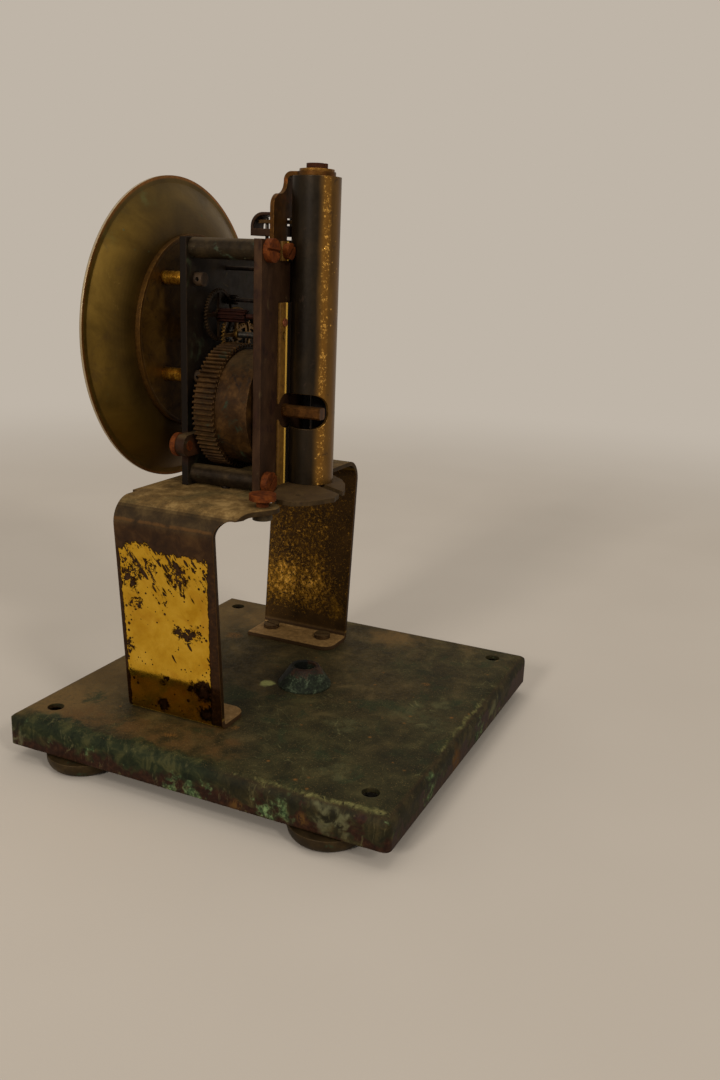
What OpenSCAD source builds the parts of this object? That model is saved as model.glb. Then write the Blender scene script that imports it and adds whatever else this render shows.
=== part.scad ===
// Small torsion clock without its pendulum, seen in the frame of its own rest:
// X to the right of the dial, Y from the dial to the back, Z up from the table.

/* [Base] */
// Side of the square base plate
base_side = 140; // [132:1:156]
// Height of the base plate's skirt
base_h = 11.2; // [9.6:0.2:15]
// Sheet thickness of the base plate
base_wall = 1.6; // [1.2:0.1:2.2]
// Radius of the upright corners of the base plate
base_corner_r = 2.4; // [2:0.1:4]
// Radius of the rounded top edge of the base plate
base_edge_r = 4; // [2.5:0.5:5.5]
// Distance of the corner holes from the base's sides
base_hole_in = 11; // [10:0.5:14]
// Bore of the corner holes
base_hole_d = 5.5; // [4:0.1:7]
// Height of the feet below the skirt
foot_h = 5.8; // [4.5:0.1:9]
// Air between the skirt and the rim of a foot
foot_gap = 0.7; // [0.4:0.1:1.2]
// Diameter of a foot at its rim
foot_d = 25.4; // [20:0.2:28]
// Diameter of the flat face that a foot stands on
foot_face_d = 18.5; // [12:0.5:19]
// Distance of the feet's middles from the left and right sides of the base
foot_in_x = 10; // [9:0.5:20]
// Distance of the feet's middles from the front and rear sides of the base
foot_in_y = 24; // [20:0.5:30]
// Diameter of a foot's stem
foot_stem_d = 9; // [6:0.5:12]
// Diameter of the centre cup where it stands on the base
cup_d = 19.4; // [17:0.2:24]
// Diameter of the centre cup at its mouth
cup_mouth_d = 10.4; // [9.8:0.2:14]
// Bore of the centre cup
cup_bore_d = 8; // [6:0.2:8.8]
// Height of the centre cup
cup_h = 7.3; // [5.6:0.1:10]

/* [Stand bridge] */
// Height of the bridge's platform over the base
bridge_h = 74.8; // [66:0.2:84]
// Thickness of the bridge strap
bridge_t = 1.6; // [1.2:0.1:2.2]
// Half width over the legs where they meet the base
bridge_foot_half = 46.8; // [44:0.2:50]
// Half width over the legs at the height of the platform
bridge_top_half = 53.2; // [51:0.2:56]
// Front edge of the legs
leg_front_y = -37.5; // [-39:0.5:-34]
// Rear edge of the legs
leg_rear_y = 0; // [-2:0.5:1]
// Outer radius of the bend between platform and leg
bridge_bend_r = 8; // [5:0.5:10]
// Outer radius of the bend between leg and foot flange
flange_bend_r = 2.6; // [2.4:0.1:4]
// Distance of the inner edge of the foot flanges from the middle
flange_inner = 31.5; // [29:0.5:34]

/* [Movement frame] */
// Half width of the movement plates
plate_half = 24; // [22.8:0.2:26]
// Height of the movement plates
plate_h = 81; // [78.4:0.2:88]
// Thickness of the front plate
front_plate_t = 2.5; // [2:0.1:2.8]
// Thickness of the back plate
back_plate_t = 2.8; // [2:0.1:3.2]
// Rear face of the back plate
back_face_y = -0.4; // [-0.8:0.1:0]
// Distance between the two plates
plate_gap = 25; // [24.8:0.1:27]
// Diameter of the pillars
pillar_d = 6.6; // [5.4:0.1:7]
// Sideways distance of the pillars from the middle
pillar_x = 19.8; // [19.4:0.1:20.2]

/* [Train] */
// Sideways place of the winding arbor
barrel_x = 8; // [7.4:0.1:8.6]
// Height of the winding arbor over the platform
barrel_up = 26.4; // [26:0.1:27.4]
// Height of the dial centre over the platform
centre_up = 49.4; // [49:0.1:50]
// Height of the escape arbor over the dial centre
escape_up = 11.64; // [11.4:0.05:12]
// Height of the anchor arbor over the escape arbor
anchor_up = 10.4; // [10.2:0.1:11]
// Diameter of the barrel drum
drum_d = 38; // [34:0.5:39]
// Width of the barrel's toothed rim
rim_w = 7.6; // [6:0.1:8]
// Thickness of the wheels
wheel_t = 0.8; // [0.6:0.1:0.9]
// Running clearance of every pivot and sleeve, on the radius
run = 0.05; // [0.03:0.01:0.08]
// Side of the winding square
square_side = 3.8; // [3.3:0.1:4.1]
// Reach of the winding square behind the back plate
square_reach = 14.2; // [9:0.2:17]

/* [Dial and hands] */
// Radius of the dial
dial_r = 51.6; // [48:0.2:56]
// Distance from the front plate to the rear of the dial's backing disc
dial_gap = 10.4; // [10.2:0.1:12]
// Depth from the dial's rim to its flat middle
dial_depth = 6; // [3:0.2:8]
// Thickness of the dial sheet
dial_t = 0.8; // [0.6:0.1:1.2]
// Radius of the backing disc
backing_r = 32.8; // [30:0.2:36]
// Thickness of the backing disc
backing_t = 1.2; // [0.8:0.1:1.6]
// Diameter of the dial feet
dial_foot_d = 4.5; // [3.6:0.1:4.6]

/* [Suspension] */
// Outer radius of the tube guard
tube_r = 8; // [7.4:0.1:8.4]
// Wall of the tube guard
tube_wall = 0.8; // [0.6:0.1:1]
// Distance of the tube's axis behind the back plate
tube_back = 6; // [5.8:0.1:6.4]
// Air between the tube guard and the bracket's arm
tube_air = 0.1; // [0.1:0.1:1]
// Height of the tube's side flanges
tube_flange_h = 60; // [50:0.5:66]
// Radius of the key clearance cut in the tube
key_r = 5.8; // [4.6:0.1:6.4]
// Thickness of the lower guide plate
guide_t = 1.6; // [1.2:0.1:2]
// Height of the suspension bracket over the plates
bracket_up = 21.3; // [20:0.1:26]
// Thickness of the bracket sheet
bracket_t = 1.4; // [1:0.1:1.8]
// Place of the anchor pin in front of the back plate's rear face
pin_ahead = 12.1; // [11.6:0.1:12.6]

/* [Hidden] */

$fn = 48;
over = 1; // overrun of every cut
seat = 0.3; // air under a loose seat
slip = 0.1; // clearance of a fixed pin or screw in its hole, on the radius

// Heights
base_top = foot_h + base_h;
platform_top = base_top + bridge_h;
plate_bottom = platform_top;
plate_top = plate_bottom + plate_h;
guide_top = platform_top + guide_t;
tube_top = plate_top + bracket_up - bracket_t - tube_air;
tube_h = tube_top - guide_top;

// Places on the base
base_hole_at = base_side / 2 - base_hole_in;
foot_x = base_side / 2 - foot_in_x;
foot_y = base_side / 2 - foot_in_y;

// Depths, from the back of the movement to the dial
back_inner_y = back_face_y - back_plate_t;
front_inner_y = back_inner_y - plate_gap;
front_face_y = front_inner_y - front_plate_t;
backing_rear_y = front_face_y - dial_gap;
backing_front_y = backing_rear_y - backing_t;
dial_rim_y = backing_front_y - dial_t - dial_depth;
tube_y = back_face_y + tube_back;

// Cheese head screw sizes: thread diameter, head diameter, head height
stand_screw_d = 3.4;
stand_head_d = 6.5;
stand_head_h = 1.6;
stand_nut_d = 6.4;
stand_nut_h = 2.2;
stand_screw_inset = 0.1;
stand_screw_front_in = 5.7;
stand_screw_rear_in = 8.1;
slot_w = 0.8;
slot_depth = 0.7;

// Platform of the bridge
deck_half = 39.5;
deck_front_y = -39.5;
tongue_half = 15;
tongue_rear_y = tube_y + tube_r;
ear_rear_y = leg_rear_y + 5;
ear_drop = 2.2;
ear_r = 5.5;
wing_rear_y = leg_rear_y + 8.8;
wing_turn = 60;
lobe_x = 35.6;
lobe_y = 7.6;
lobe_r = 5.4;
lobe_neck = 4.2;
lobe_bore_d = 4.2;
lobe_screw_d = 4;
lobe_head_d = 8.6;
lobe_head_h = 2;
lobe_head_up = 2.1;
bush_d = 6.3;
bush_h = 2.6;
bush_pipe_d = 5;
deck_bore_d = 7;
flange_corner_r = 5;

// Lower guide plate
guide_hole_d = 2;

// Movement frame fittings
pillar_screw_d = 3;
pillar_tenon_d = 3.6;
pillar_head_d = 7.3;
pillar_head_h = 2.3;
pillar_low_up = pillar_head_d / 2 + slip;
pillar_high_up = plate_h - pillar_d / 2 - slip;
pillar_thread = 6;
movement_screw_d = 3;
movement_head_d = 6;
movement_head_h = 1.8;
movement_thread = 3.6;
side_screw_up = 14.6;
side_screw_d = 3.4;
side_head_d = 7.8;
side_head_h = 2.5;
side_edge = 0.8;
side_lug_half = 3.6;
side_lug_t = 3.4;
side_lug_in = 4;
side_screw_x = plate_half + side_head_d / 2 + slip;

// Tube guard fittings
flange_out = 13.2;
flange_t = 0.8;
tube_rivet_x = 10.4;
tube_rivet_d = 1.6;
tube_rivet_head_d = 2.6;
tube_rivet_head_h = 0.5;
rivet_drop = 6.3;
oval_drop = 10.6;
oval_w = 1.8;
oval_h = 3;
lug_drop = 3.4;
lug_x = 9.95;
lug_h = 6;
tube_screw_d = 2.4;
tube_head_d = 5.1;
tube_head_h = 2;

// Suspension bracket
bracket_half = 12;
bracket_foot_h = 7.8;
shoulder_r = 4.2;
neck_half = 3.4;
bracket_bend_r = 2.7;
neck_up = bracket_up - bracket_bend_r;
shoulder_up = neck_up - bracket_half + neck_half;
bracket_end_r = 6.1;
bracket_slot_half = 3.1;
bracket_slot_up = 7;
washer_d = 11.3;
washer_h = 0.8;
top_screw_d = 3;
top_head_d = 6.9;
top_head_h = 1.7;
top_shank = 4.6;

// Suspension
block_w = 4.6;
block_t = 3;
block_h = 5;
spring_w = 1.3;
spring_t = 0.16;
block_slot_w = 0.5;
spring_nip = 1.2;
fork_up = 5.2;
fork_h = 1.2;
fork_root_d = 4.2;
fork_bar_half = 1.6;
fork_prong_w = 0.9;
fork_tip = 2.4;
pin_d = 1.2;
pin_slack = 0.12;
low_block_up = 3;
low_block_h = 5.6;
hook_d = 1.6;
guard_half = 3.4;
guard_t = 1;
guard_reach = 12.2;
guard_up = 8.7;
guard_low = 1.2;
guard_bar_h = 2.3;
guard_bend_r = 4.6;
guard_slot_half = 1.6;

// Train: tooth counts, modules and layers
rim_n = 72;
rim_m = 0.57;
second_pinion_n = 12;
second_n = 52;
second_m = 0.45;
centre_pinion_n = 10;
centre_n = 45;
centre_m = 0.4;
third_pinion_n = 10;
third_pinion_len = 10.4;
centre_pinion_len = 1.6;
third_n = 48;
third_m = 0.35;
escape_pinion_n = 8;
escape_n = 20;
escape_r = 7.6;
escape_root_r = 6.3;
wheel_tooth_share = 0.46;
pinion_leaf_share = 0.36;
second_layer = 0.5;
third_layer = 2.1;
centre_layer = 3.6;
rim_layer = 5;
pinion_reach = 0.25;
drum_gap = 0.7;
pivot_d = 1.3;
fine_pivot_d = 1;
arbor_d = 2.2;
slim_arbor_d = 1.7;
fine_arbor_d = 1.4;
shoulder_gap = 0.15;
centre_pivot_d = 2.4;
hub_d = 4;
hub_h = 0.9;

// Barrel and winding
drum_wall = 1.1;
barrel_cap_t = 1;
cap_lip = 1.4;
cap_fit = 0.05; // air round the barrel cap
arbor_core_d = 7;
winding_pivot_d = 4.6;
barrel_step_d = 5.6;
spring_strip = 0.35;
spring_turns = 9;
ratchet_n = 24;
ratchet_r = 6.6;
ratchet_root_r = 5.6;
ratchet_t = 1.4;
ratchet_gap = 0.3;
front_square = 3.6;
click_len = 9.8;
click_hub_d = 4.4;
click_screw_d = 2.4;
click_head_d = 4;
click_head_h = 0.9;
click_angle = 62;
click_nose = 0.2;
click_tip_r = 0.5;
click_lead = 45;
click_arm_low = 1.2;
click_spring_len = 9.4;
click_spring_turn = 138;
click_spring_in = 3;
click_spring_gap = 0.5;
click_spring_t = 0.5;

// Motion work and hands
cannon_n = 12;
minute_n = 36;
motion_m = 0.375;
minute_pinion_n = 10;
hour_n = 40;
hour_m = 0.36;
minute_angle = 225;
cannon_gap = 0.6;
cannon_h = 1.8;
post_d = 2;
cannon_pipe_d = 3.8;
hour_layer = 3.4;
hour_pipe_d = 5.4;
hand_t = 0.5;
hand_gap = 0.6;
hour_hand_share = 0.74;
minute_hand_share = 1.06;
hand_w = 3.2;
hand_hub_d = 8;
dial_hole_d = 7;
dial_flat_over = 1.2;
dial_rim_w = 2.4;
backing_lip = 0.6;
foot_rivet_d = 2.6;
foot_inner_reach = 3;
foot_cross_d = 1.4;
foot_collar_d = 5.6;
foot_collar_h = 1;
dial_foot_at = [[18, 18.4], [18, -13.2], [-19.5, 3.8]];

// Places of the arbors in the plane of the plates
barrel_at = [barrel_x, plate_bottom + barrel_up];
centre_at = [0, plate_bottom + centre_up];
escape_at = centre_at + [0, escape_up];
anchor_at = escape_at + [0, anchor_up];
function pair_gap(n1, n2, m) = (n1 + n2) * m / 2;
// Point that lies a from p and b from q, on the side that side names
function meet(p, a, q, b, side) =
    let (d = norm(q - p), u = (q - p) / d, k = (a * a - b * b + d * d) / (2 * d))
    p + u * k + side * sqrt(a * a - k * k) * [-u[1], u[0]];
second_at = meet(barrel_at, pair_gap(rim_n, second_pinion_n, rim_m),
    centre_at, pair_gap(second_n, centre_pinion_n, second_m), 1);
third_at = meet(centre_at, pair_gap(centre_n, third_pinion_n, centre_m),
    escape_at, pair_gap(third_n, escape_pinion_n, third_m), -1);
minute_at = centre_at
    + pair_gap(cannon_n, minute_n, motion_m) * [cos(minute_angle), sin(minute_angle)];
// Phase that puts a gap of gear 2 against a tooth of gear 1
function bearing(p, q) = atan2(q[1] - p[1], q[0] - p[0]);
function phase_of(p, n1, turn1, q, n2) =
    bearing(p, q) + 180 - 180 / n2 + (bearing(p, q) - turn1) * n1 / n2;
second_turn = phase_of(centre_at, centre_pinion_n, 0, second_at, second_n);
rim_turn = phase_of(second_at, second_pinion_n, second_turn, barrel_at, rim_n);
third_turn = phase_of(centre_at, centre_n, 0, third_at, third_pinion_n);
escape_turn = phase_of(third_at, third_n, third_turn, escape_at, escape_pinion_n);
minute_turn = phase_of(centre_at, cannon_n, 0, minute_at, minute_n);
hour_turn = phase_of(minute_at, minute_pinion_n, minute_turn, centre_at, hour_n);

// Layers of the train behind the front plate
second_wheel_y = front_inner_y + second_layer;
third_wheel_y = front_inner_y + third_layer;
centre_wheel_y = front_inner_y + centre_layer;
rim_y = front_inner_y + rim_layer;
drum_rear_y = back_inner_y - drum_gap;
pin_y = back_face_y - pin_ahead;

// Solid of revolution or outline laid along Y: x stays, y becomes z
module along_y(y, length) {
    translate([0, y + length, 0]) rotate([90, 0, 0]) linear_extrude(length) children();
}
module rod(at, y, length, d) {
    translate([at[0], y + length, at[1]]) rotate([90, 0, 0]) cylinder(d = d, h = length);
}
// Turned shape along Y: its profile is drawn as radius and distance forward
module turned(at, y) {
    translate([at[0], y, at[1]]) rotate([90, 0, 0]) rotate_extrude() children();
}
function arc(c, r, a0, a1, n) =
    [for (i = [0:n]) let (a = a0 + (a1 - a0) * i / n) c + r * [cos(a), sin(a)]];

// Tooth outline: share of the tooth's width, and height in modules
wheel_form_shares = [
    [-0.5, -1.25], [-0.5, 0], [-0.36, 0.5], [-0.12, 0.85],
    [0.12, 0.85], [0.36, 0.5], [0.5, 0], [0.5, -1.25]];
leaf_form_shares = [
    [-0.42, -1.15], [-0.5, 0], [-0.34, 0.42], [-0.1, 0.62],
    [0.1, 0.62], [0.34, 0.42], [0.5, 0], [0.42, -1.15]];
module toothed(n, m, width_share, form, turn) {
    polygon([for (k = [0:n - 1]) for (p = form)
        let (a = turn + (k + p[0] * width_share) * 360 / n)
        (n / 2 + p[1]) * m * [cos(a), sin(a)]]);
}
module wheel_teeth(n, m, turn) {
    toothed(n, m, wheel_tooth_share, wheel_form_shares, turn);
}
module leaves(n, m, turn) {
    toothed(n, m, pinion_leaf_share, leaf_form_shares, turn);
}
// Crossed-out wheel: rim, arms and a seat for its arbor
module crossed(rim_r, hub_r, arm_w, arms) {
    difference() {
        children();
        difference() {
            circle(r = rim_r);
            circle(r = hub_r);
            for (k = [0:arms - 1])
                rotate(k * 360 / arms) translate([0, -arm_w / 2]) square([rim_r, arm_w]);
        }
    }
}
// Cheese head screw along Y with its head to the back
module screw_y(at, seat_y, d, length, head_d, head_h, slot_turn) {
    rod(at, seat_y - length, length + head_h / 2, d);
    difference() {
        rod(at, seat_y, head_h, head_d);
        translate([at[0], seat_y + head_h, at[1]]) rotate([0, slot_turn, 0])
            cube([head_d + over, slot_depth * 2, slot_w], center = true);
    }
}
// Cheese head screw along Z with its head on top
module screw_z(at, seat_z, d, length, head_d, head_h, slot_turn) {
    translate([at[0], at[1], seat_z - length]) cylinder(d = d, h = length + head_h / 2);
    difference() {
        translate([at[0], at[1], seat_z]) cylinder(d = head_d, h = head_h);
        translate([at[0], at[1], seat_z + head_h]) rotate(slot_turn)
            cube([head_d + over, slot_w, slot_depth * 2], center = true);
    }
}

// Base
module edge_outline(side, height, edge) {
    translate([-side / 2, 0]) square([side, height - edge]);
    translate([edge - side / 2, 0]) square([side - 2 * edge, height]);
    intersection() {
        for (s = [-1, 1]) translate([s * (side / 2 - edge), height - edge]) circle(r = edge);
        translate([-side / 2, 0]) square([side, height]);
    }
}
module plan_outline(side, corner) {
    inner = side / 2 - corner;
    square([2 * inner, side], center = true);
    square([side, 2 * inner], center = true);
    for (k = [0:3]) rotate(k * 90) translate([inner, inner]) circle(r = corner);
}
module rounded_block(side, height, corner, edge) {
    intersection() {
        linear_extrude(height) plan_outline(side, corner);
        crossways(side) edge_outline(side, height, edge);
        rotate(90) crossways(side) edge_outline(side, height, edge);
    }
}
module crossways(side) {
    translate([0, side / 2, 0]) rotate([90, 0, 0]) linear_extrude(side) children();
}
module base_plate() {
    color("olivedrab") difference() {
        translate([0, 0, foot_h]) rounded_block(base_side, base_h, base_corner_r, base_edge_r);
        translate([0, 0, foot_h - over]) rounded_block(base_side - 2 * base_wall,
            base_h - base_wall + over, max(base_corner_r - base_wall, base_wall / 4),
            base_edge_r - base_wall);
        for (x = [-base_hole_at, base_hole_at]) for (y = [-base_hole_at, base_hole_at])
            translate([x, y, foot_h]) cylinder(d = base_hole_d, h = base_h + over);
        for (p = stand_screw_at) translate([p[0], p[1], foot_h])
            cylinder(d = stand_screw_d + 2 * slip, h = base_h + over);
        translate([0, tube_y, foot_h]) cylinder(d = cup_spigot_d + 2 * slip, h = base_h + over);
    }
}
module foot(x, y) {
    rim_z = foot_h - foot_gap;
    rise = rim_z - foot_rim_t;
    color("darkolivegreen") translate([x, y, 0]) rotate_extrude() polygon(concat(
        [[0, 0]],
        [for (a = [0:10:90]) [foot_face_d / 2 + (foot_d - foot_face_d) / 2 * sin(a),
            rise * (1 - cos(a))]],
        [[foot_d / 2, rim_z], [foot_stem_d / 2, rim_z],
            [foot_stem_d / 2, base_top - base_wall], [0, base_top - base_wall]]));
}
foot_rim_t = 0.9;
module foot_front_right() { foot(foot_x, -foot_y); }
module foot_front_left() { foot(-foot_x, -foot_y); }
module foot_rear_right() { foot(foot_x, foot_y); }
module foot_rear_left() { foot(-foot_x, foot_y); }

// Cup and its clamping nut under the base sheet
cup_spigot = 4.4;
cup_spigot_d = 7;
cup_floor = 1;
cup_nut_h = 2.4;
cup_nut_d = 13;
cup_lip = 0.6;
module centre_cup() {
    color("teal") translate([0, tube_y, base_top]) difference() {
        rotate_extrude() polygon([[0, -cup_spigot], [cup_spigot_d / 2, -cup_spigot],
            [cup_spigot_d / 2, 0], [cup_d / 2, 0], [cup_d / 2, cup_lip],
            [cup_mouth_d / 2, cup_h], [0, cup_h]]);
        translate([0, 0, cup_floor]) cylinder(d = cup_bore_d, h = cup_h);
    }
}
module cup_nut() {
    color("peru") translate([0, tube_y, base_top - base_wall - cup_nut_h]) difference() {
        cylinder(d = cup_nut_d, h = cup_nut_h, $fn = 6);
        translate([0, 0, -over]) cylinder(d = cup_spigot_d, h = cup_nut_h + 2 * over);
    }
}

// Stand bridge
splay = atan((bridge_top_half - bridge_foot_half) / bridge_h);
function leg_x(z, inset) = bridge_foot_half + z * tan(splay) - inset / cos(splay);
bend_at = [leg_x(bridge_h - bridge_bend_r, bridge_bend_r), bridge_h - bridge_bend_r];
flange_at = [leg_x(flange_bend_r, flange_bend_r), flange_bend_r];
bend_n = 12;
strap_half = concat(
    [[0, bridge_h]],
    arc(bend_at, bridge_bend_r, 90, -splay, bend_n),
    arc(flange_at, flange_bend_r, -splay, -90, bend_n),
    [[flange_inner, 0], [flange_inner, bridge_t]],
    arc(flange_at, flange_bend_r - bridge_t, -90, -splay, bend_n),
    arc(bend_at, bridge_bend_r - bridge_t, -splay, 90, bend_n),
    [[0, bridge_h - bridge_t]]);
stand_screw_x = flange_at[0] - stand_head_d / 2 - stand_screw_inset;
stand_screw_at = [for (s = [-1, 1])
    for (y = [leg_front_y + stand_screw_front_in, leg_rear_y - stand_screw_rear_in])
    [s * stand_screw_x, y]];
module strap(y0, y1) {
    for (s = [0, 1]) mirror([s, 0, 0]) translate([0, 0, base_top])
        along_y(y0, y1 - y0) polygon(strap_half);
}
module deck_outline() {
    translate([-deck_half, deck_front_y]) square([2 * deck_half, leg_rear_y - deck_front_y]);
    translate([-tongue_half, leg_front_y])
        square([2 * tongue_half, tongue_rear_y - tongue_half - leg_front_y]);
    translate([0, tongue_rear_y - tongue_half]) circle(r = tongue_half);
    translate([lobe_x, lobe_y]) circle(r = lobe_r);
    translate([lobe_x - lobe_neck, leg_front_y]) square([2 * lobe_neck, lobe_y - leg_front_y]);
    polygon([[lobe_x, leg_front_y], [bend_at[0], leg_front_y], [bend_at[0], wing_rear_y],
        [lobe_x + lobe_r * cos(wing_turn), lobe_y + lobe_r * sin(wing_turn)], [lobe_x, lobe_y]]);
}
// Part of the right bend that runs out into the lobe, hollowed towards the leg's rear edge
module ear() {
    intersection() {
        strap(leg_rear_y - over, wing_rear_y);
        translate([0, 0, base_top]) linear_extrude(bridge_h)
            polygon([[bend_at[0], leg_rear_y - over], [bridge_top_half, leg_rear_y - over],
                [bridge_top_half, ear_rear_y], [bend_at[0], wing_rear_y]]);
        translate([bend_at[0], 0, 0]) rotate([90, 0, 90]) linear_extrude(bridge_top_half - bend_at[0])
            polygon(concat([[leg_rear_y - over, platform_top], [leg_rear_y - over, ear_z - ear_r]],
                arc([leg_rear_y + ear_r, ear_z - ear_r], ear_r, 180, 90, bend_n),
                [[wing_rear_y, ear_z], [wing_rear_y, platform_top]]));
    }
}
ear_z = platform_top - ear_drop;
module flange_corner_cut() {
    translate([flange_inner, leg_rear_y - flange_corner_r]) difference() {
        translate([-over, 0]) square([flange_corner_r + over, flange_corner_r + over]);
        translate([flange_corner_r, 0]) circle(r = flange_corner_r);
    }
}
module stand_bridge() {
    color("goldenrod") difference() {
        union() {
            strap(leg_front_y, leg_rear_y);
            ear();
            translate([0, 0, platform_top - bridge_t]) linear_extrude(bridge_t) deck_outline();
        }
        for (p = stand_screw_at) translate([p[0], p[1], base_top - over])
            cylinder(d = stand_screw_d + 2 * slip, h = bridge_t + 2 * over);
        for (s = [0, 1]) mirror([s, 0, 0]) translate([0, 0, base_top - over])
            linear_extrude(bridge_t + 2 * over) flange_corner_cut();
        translate([lobe_x, lobe_y, platform_top - bridge_t - over])
            cylinder(d = bush_pipe_d, h = bridge_t + 2 * over);
        translate([0, tube_y, platform_top - bridge_t - over])
            cylinder(d = deck_bore_d, h = bridge_t + 2 * over);
        for (s = [-1, 1]) translate([s * pillar_x, movement_screw_y, platform_top - bridge_t - over])
            cylinder(d = movement_screw_d + 2 * slip, h = bridge_t + 2 * over);
    }
}
module stand_screws() {
    color("darkgoldenrod") for (p = stand_screw_at)
        screw_z(p, base_top + bridge_t, stand_screw_d,
            bridge_t + base_wall + stand_nut_h + seat, stand_head_d, stand_head_h, p[1] * 9);
}
module stand_nuts() {
    color("peru") for (p = stand_screw_at)
        translate([p[0], p[1], base_top - base_wall - stand_nut_h]) difference() {
            cylinder(d = stand_nut_d, h = stand_nut_h, $fn = 6);
            translate([0, 0, -over]) cylinder(d = stand_screw_d, h = stand_nut_h + 2 * over);
        }
}
module lobe_bush() {
    color("rosybrown") translate([lobe_x, lobe_y, platform_top - bridge_t]) difference() {
        union() {
            translate([0, 0, -bush_h]) cylinder(d = bush_d, h = bush_h);
            cylinder(d = bush_pipe_d, h = bridge_t);
        }
        translate([0, 0, -bush_h - over]) cylinder(d = lobe_screw_d, h = bush_h + bridge_t + 2 * over);
    }
}
module lobe_screw() {
    color("chocolate") translate([lobe_x, lobe_y, platform_top]) {
        translate([0, 0, -bridge_t - bush_h])
            cylinder(d = lobe_screw_d, h = bush_h + bridge_t + lobe_head_up + lobe_head_h / 2);
        translate([0, 0, lobe_head_up]) cylinder(d = lobe_head_d, h = lobe_head_h);
    }
}
// Screws that hold the two lower pillars down on the platform
movement_screw_y = (front_inner_y + back_inner_y) / 2;
module movement_screws() {
    color("dimgray") for (s = [-1, 1])
        translate([s * pillar_x, movement_screw_y, platform_top - bridge_t]) {
            translate([0, 0, -movement_head_h / 2])
                cylinder(d = movement_screw_d, h = movement_head_h / 2 + bridge_t + movement_thread);
            difference() {
                translate([0, 0, -movement_head_h]) cylinder(d = movement_head_d, h = movement_head_h);
                translate([0, 0, -movement_head_h])
                    cube([movement_head_d + over, slot_w, slot_depth * 2], center = true);
            }
        }
}
// Guide plate under the tube: a near wing and a far wing with a slit between them
guide_front_y = back_face_y + slip;
guide_screw_gap = 0.25;
guide_near_half = 15.8;
guide_points = [[22.9, 4.2], [30.5, 9.2], [31, 15.6], [27.2, 19.8], [18.4, 24.4], [15.6, 23.6],
    [6.5, 22.3], [-1.9, 18.4], [-7.4, 14.6], [-12.6, 8.4]];
guide_slit_w = 3;
guide_slit_turn = 58;
guide_slit_len = 24;
guide_hole_at = [21.4, 12.8];
module lower_guide() {
    screw_y = back_face_y + pillar_head_h + guide_screw_gap;
    color("darkkhaki") translate([0, 0, platform_top]) difference() {
        linear_extrude(guide_t) difference() {
            polygon(concat([[guide_near_half, guide_front_y], [guide_near_half, screw_y]],
                guide_points,
                [[-guide_near_half, screw_y], [-guide_near_half, guide_front_y]]));
            translate([0, tube_y]) rotate(guide_slit_turn)
                translate([0, -guide_slit_w / 2]) square([guide_slit_len, guide_slit_w]);
        }
        translate([0, tube_y, -over]) cylinder(d = deck_bore_d, h = guide_t + 2 * over);
        translate([guide_hole_at[0], guide_hole_at[1], -over])
            cylinder(d = guide_hole_d, h = guide_t + 2 * over);
    }
}

// Movement frame
pillar_at = [for (u = [pillar_low_up, pillar_high_up]) for (s = [1, -1])
    [s * pillar_x, plate_bottom + u]];
foot_at = [for (p = dial_foot_at) centre_at + p];
click_at = barrel_at + click_len * [cos(click_angle), sin(click_angle)];
side_screw_at = [side_screw_x, plate_bottom + side_screw_up];
module front_plate() {
    color("rosybrown") difference() {
        union() {
            along_y(front_face_y, front_plate_t)
                translate([-plate_half, plate_bottom]) square([2 * plate_half, plate_h]);
            along_y(front_inner_y - front_plate_t / 2, front_plate_t / 2 + side_lug_t)
                translate([plate_half - side_lug_in, side_screw_at[1] - side_lug_half])
                    square([side_lug_in - slip, 2 * side_lug_half]);
            along_y(front_inner_y, side_lug_t) {
                translate([plate_half - side_lug_in, side_screw_at[1] - side_lug_half])
                    square([side_screw_x - plate_half + side_lug_in, 2 * side_lug_half]);
                translate(side_screw_at) circle(r = side_lug_half);
            }
        }
        for (b = [[barrel_at, winding_pivot_d], [second_at, pivot_d], [third_at, pivot_d],
                [escape_at, fine_pivot_d], [anchor_at, fine_pivot_d], [centre_at, centre_pivot_d]])
            rod(b[0], front_face_y - over, front_plate_t + 2 * over, b[1] + 2 * run);
        for (p = pillar_at)
            rod(p, front_face_y - over, front_plate_t + 2 * over, pillar_tenon_d);
        for (p = foot_at) rod(p, front_face_y - over, front_plate_t + 2 * over, dial_foot_d + 2 * slip);
        for (b = [[click_at, click_screw_d], [click_spring_at, click_screw_d], [minute_at, post_d]])
            rod(b[0], front_face_y - over, front_plate_t + 2 * over, b[1]);
        rod(side_screw_at, front_inner_y - over, side_lug_t + 2 * over, side_screw_d);
    }
}
module back_plate() {
    color("rosybrown") difference() {
        along_y(back_inner_y, back_plate_t)
            translate([-plate_half, plate_bottom]) square([2 * plate_half, plate_h]);
        for (b = [[barrel_at, winding_pivot_d], [second_at, pivot_d], [third_at, pivot_d],
                [escape_at, fine_pivot_d], [anchor_at, fine_pivot_d], [centre_at, pivot_d]])
            rod(b[0], back_inner_y - over, back_plate_t + 2 * over, b[1] + 2 * run);
        for (p = pillar_at)
            rod(p, back_inner_y - over, back_plate_t + 2 * over, pillar_screw_d + 2 * slip);
        for (s = [-1, 1]) {
            rod([s * lug_x, lug_z], back_inner_y - over, back_plate_t + 2 * over,
                tube_screw_d + 2 * slip);
            rod([s * tube_rivet_x, rivet_z], back_inner_y - over,
                back_plate_t + 2 * over, tube_rivet_d);
        }
    }
}
module pillar(p, bottom) {
    color("dimgray") difference() {
        union() {
            rod(p, front_inner_y, plate_gap, pillar_d);
            rod(p, front_face_y, front_plate_t + over, pillar_tenon_d);
        }
        rod(p, back_inner_y - pillar_thread, pillar_thread + over, pillar_screw_d);
        if (bottom) translate([p[0], movement_screw_y, plate_bottom - over])
            cylinder(d = movement_screw_d, h = over + movement_thread + slip);
    }
}
module pillar_bottom_right() { pillar(pillar_at[0], true); }
module pillar_bottom_left() { pillar(pillar_at[1], true); }
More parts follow.
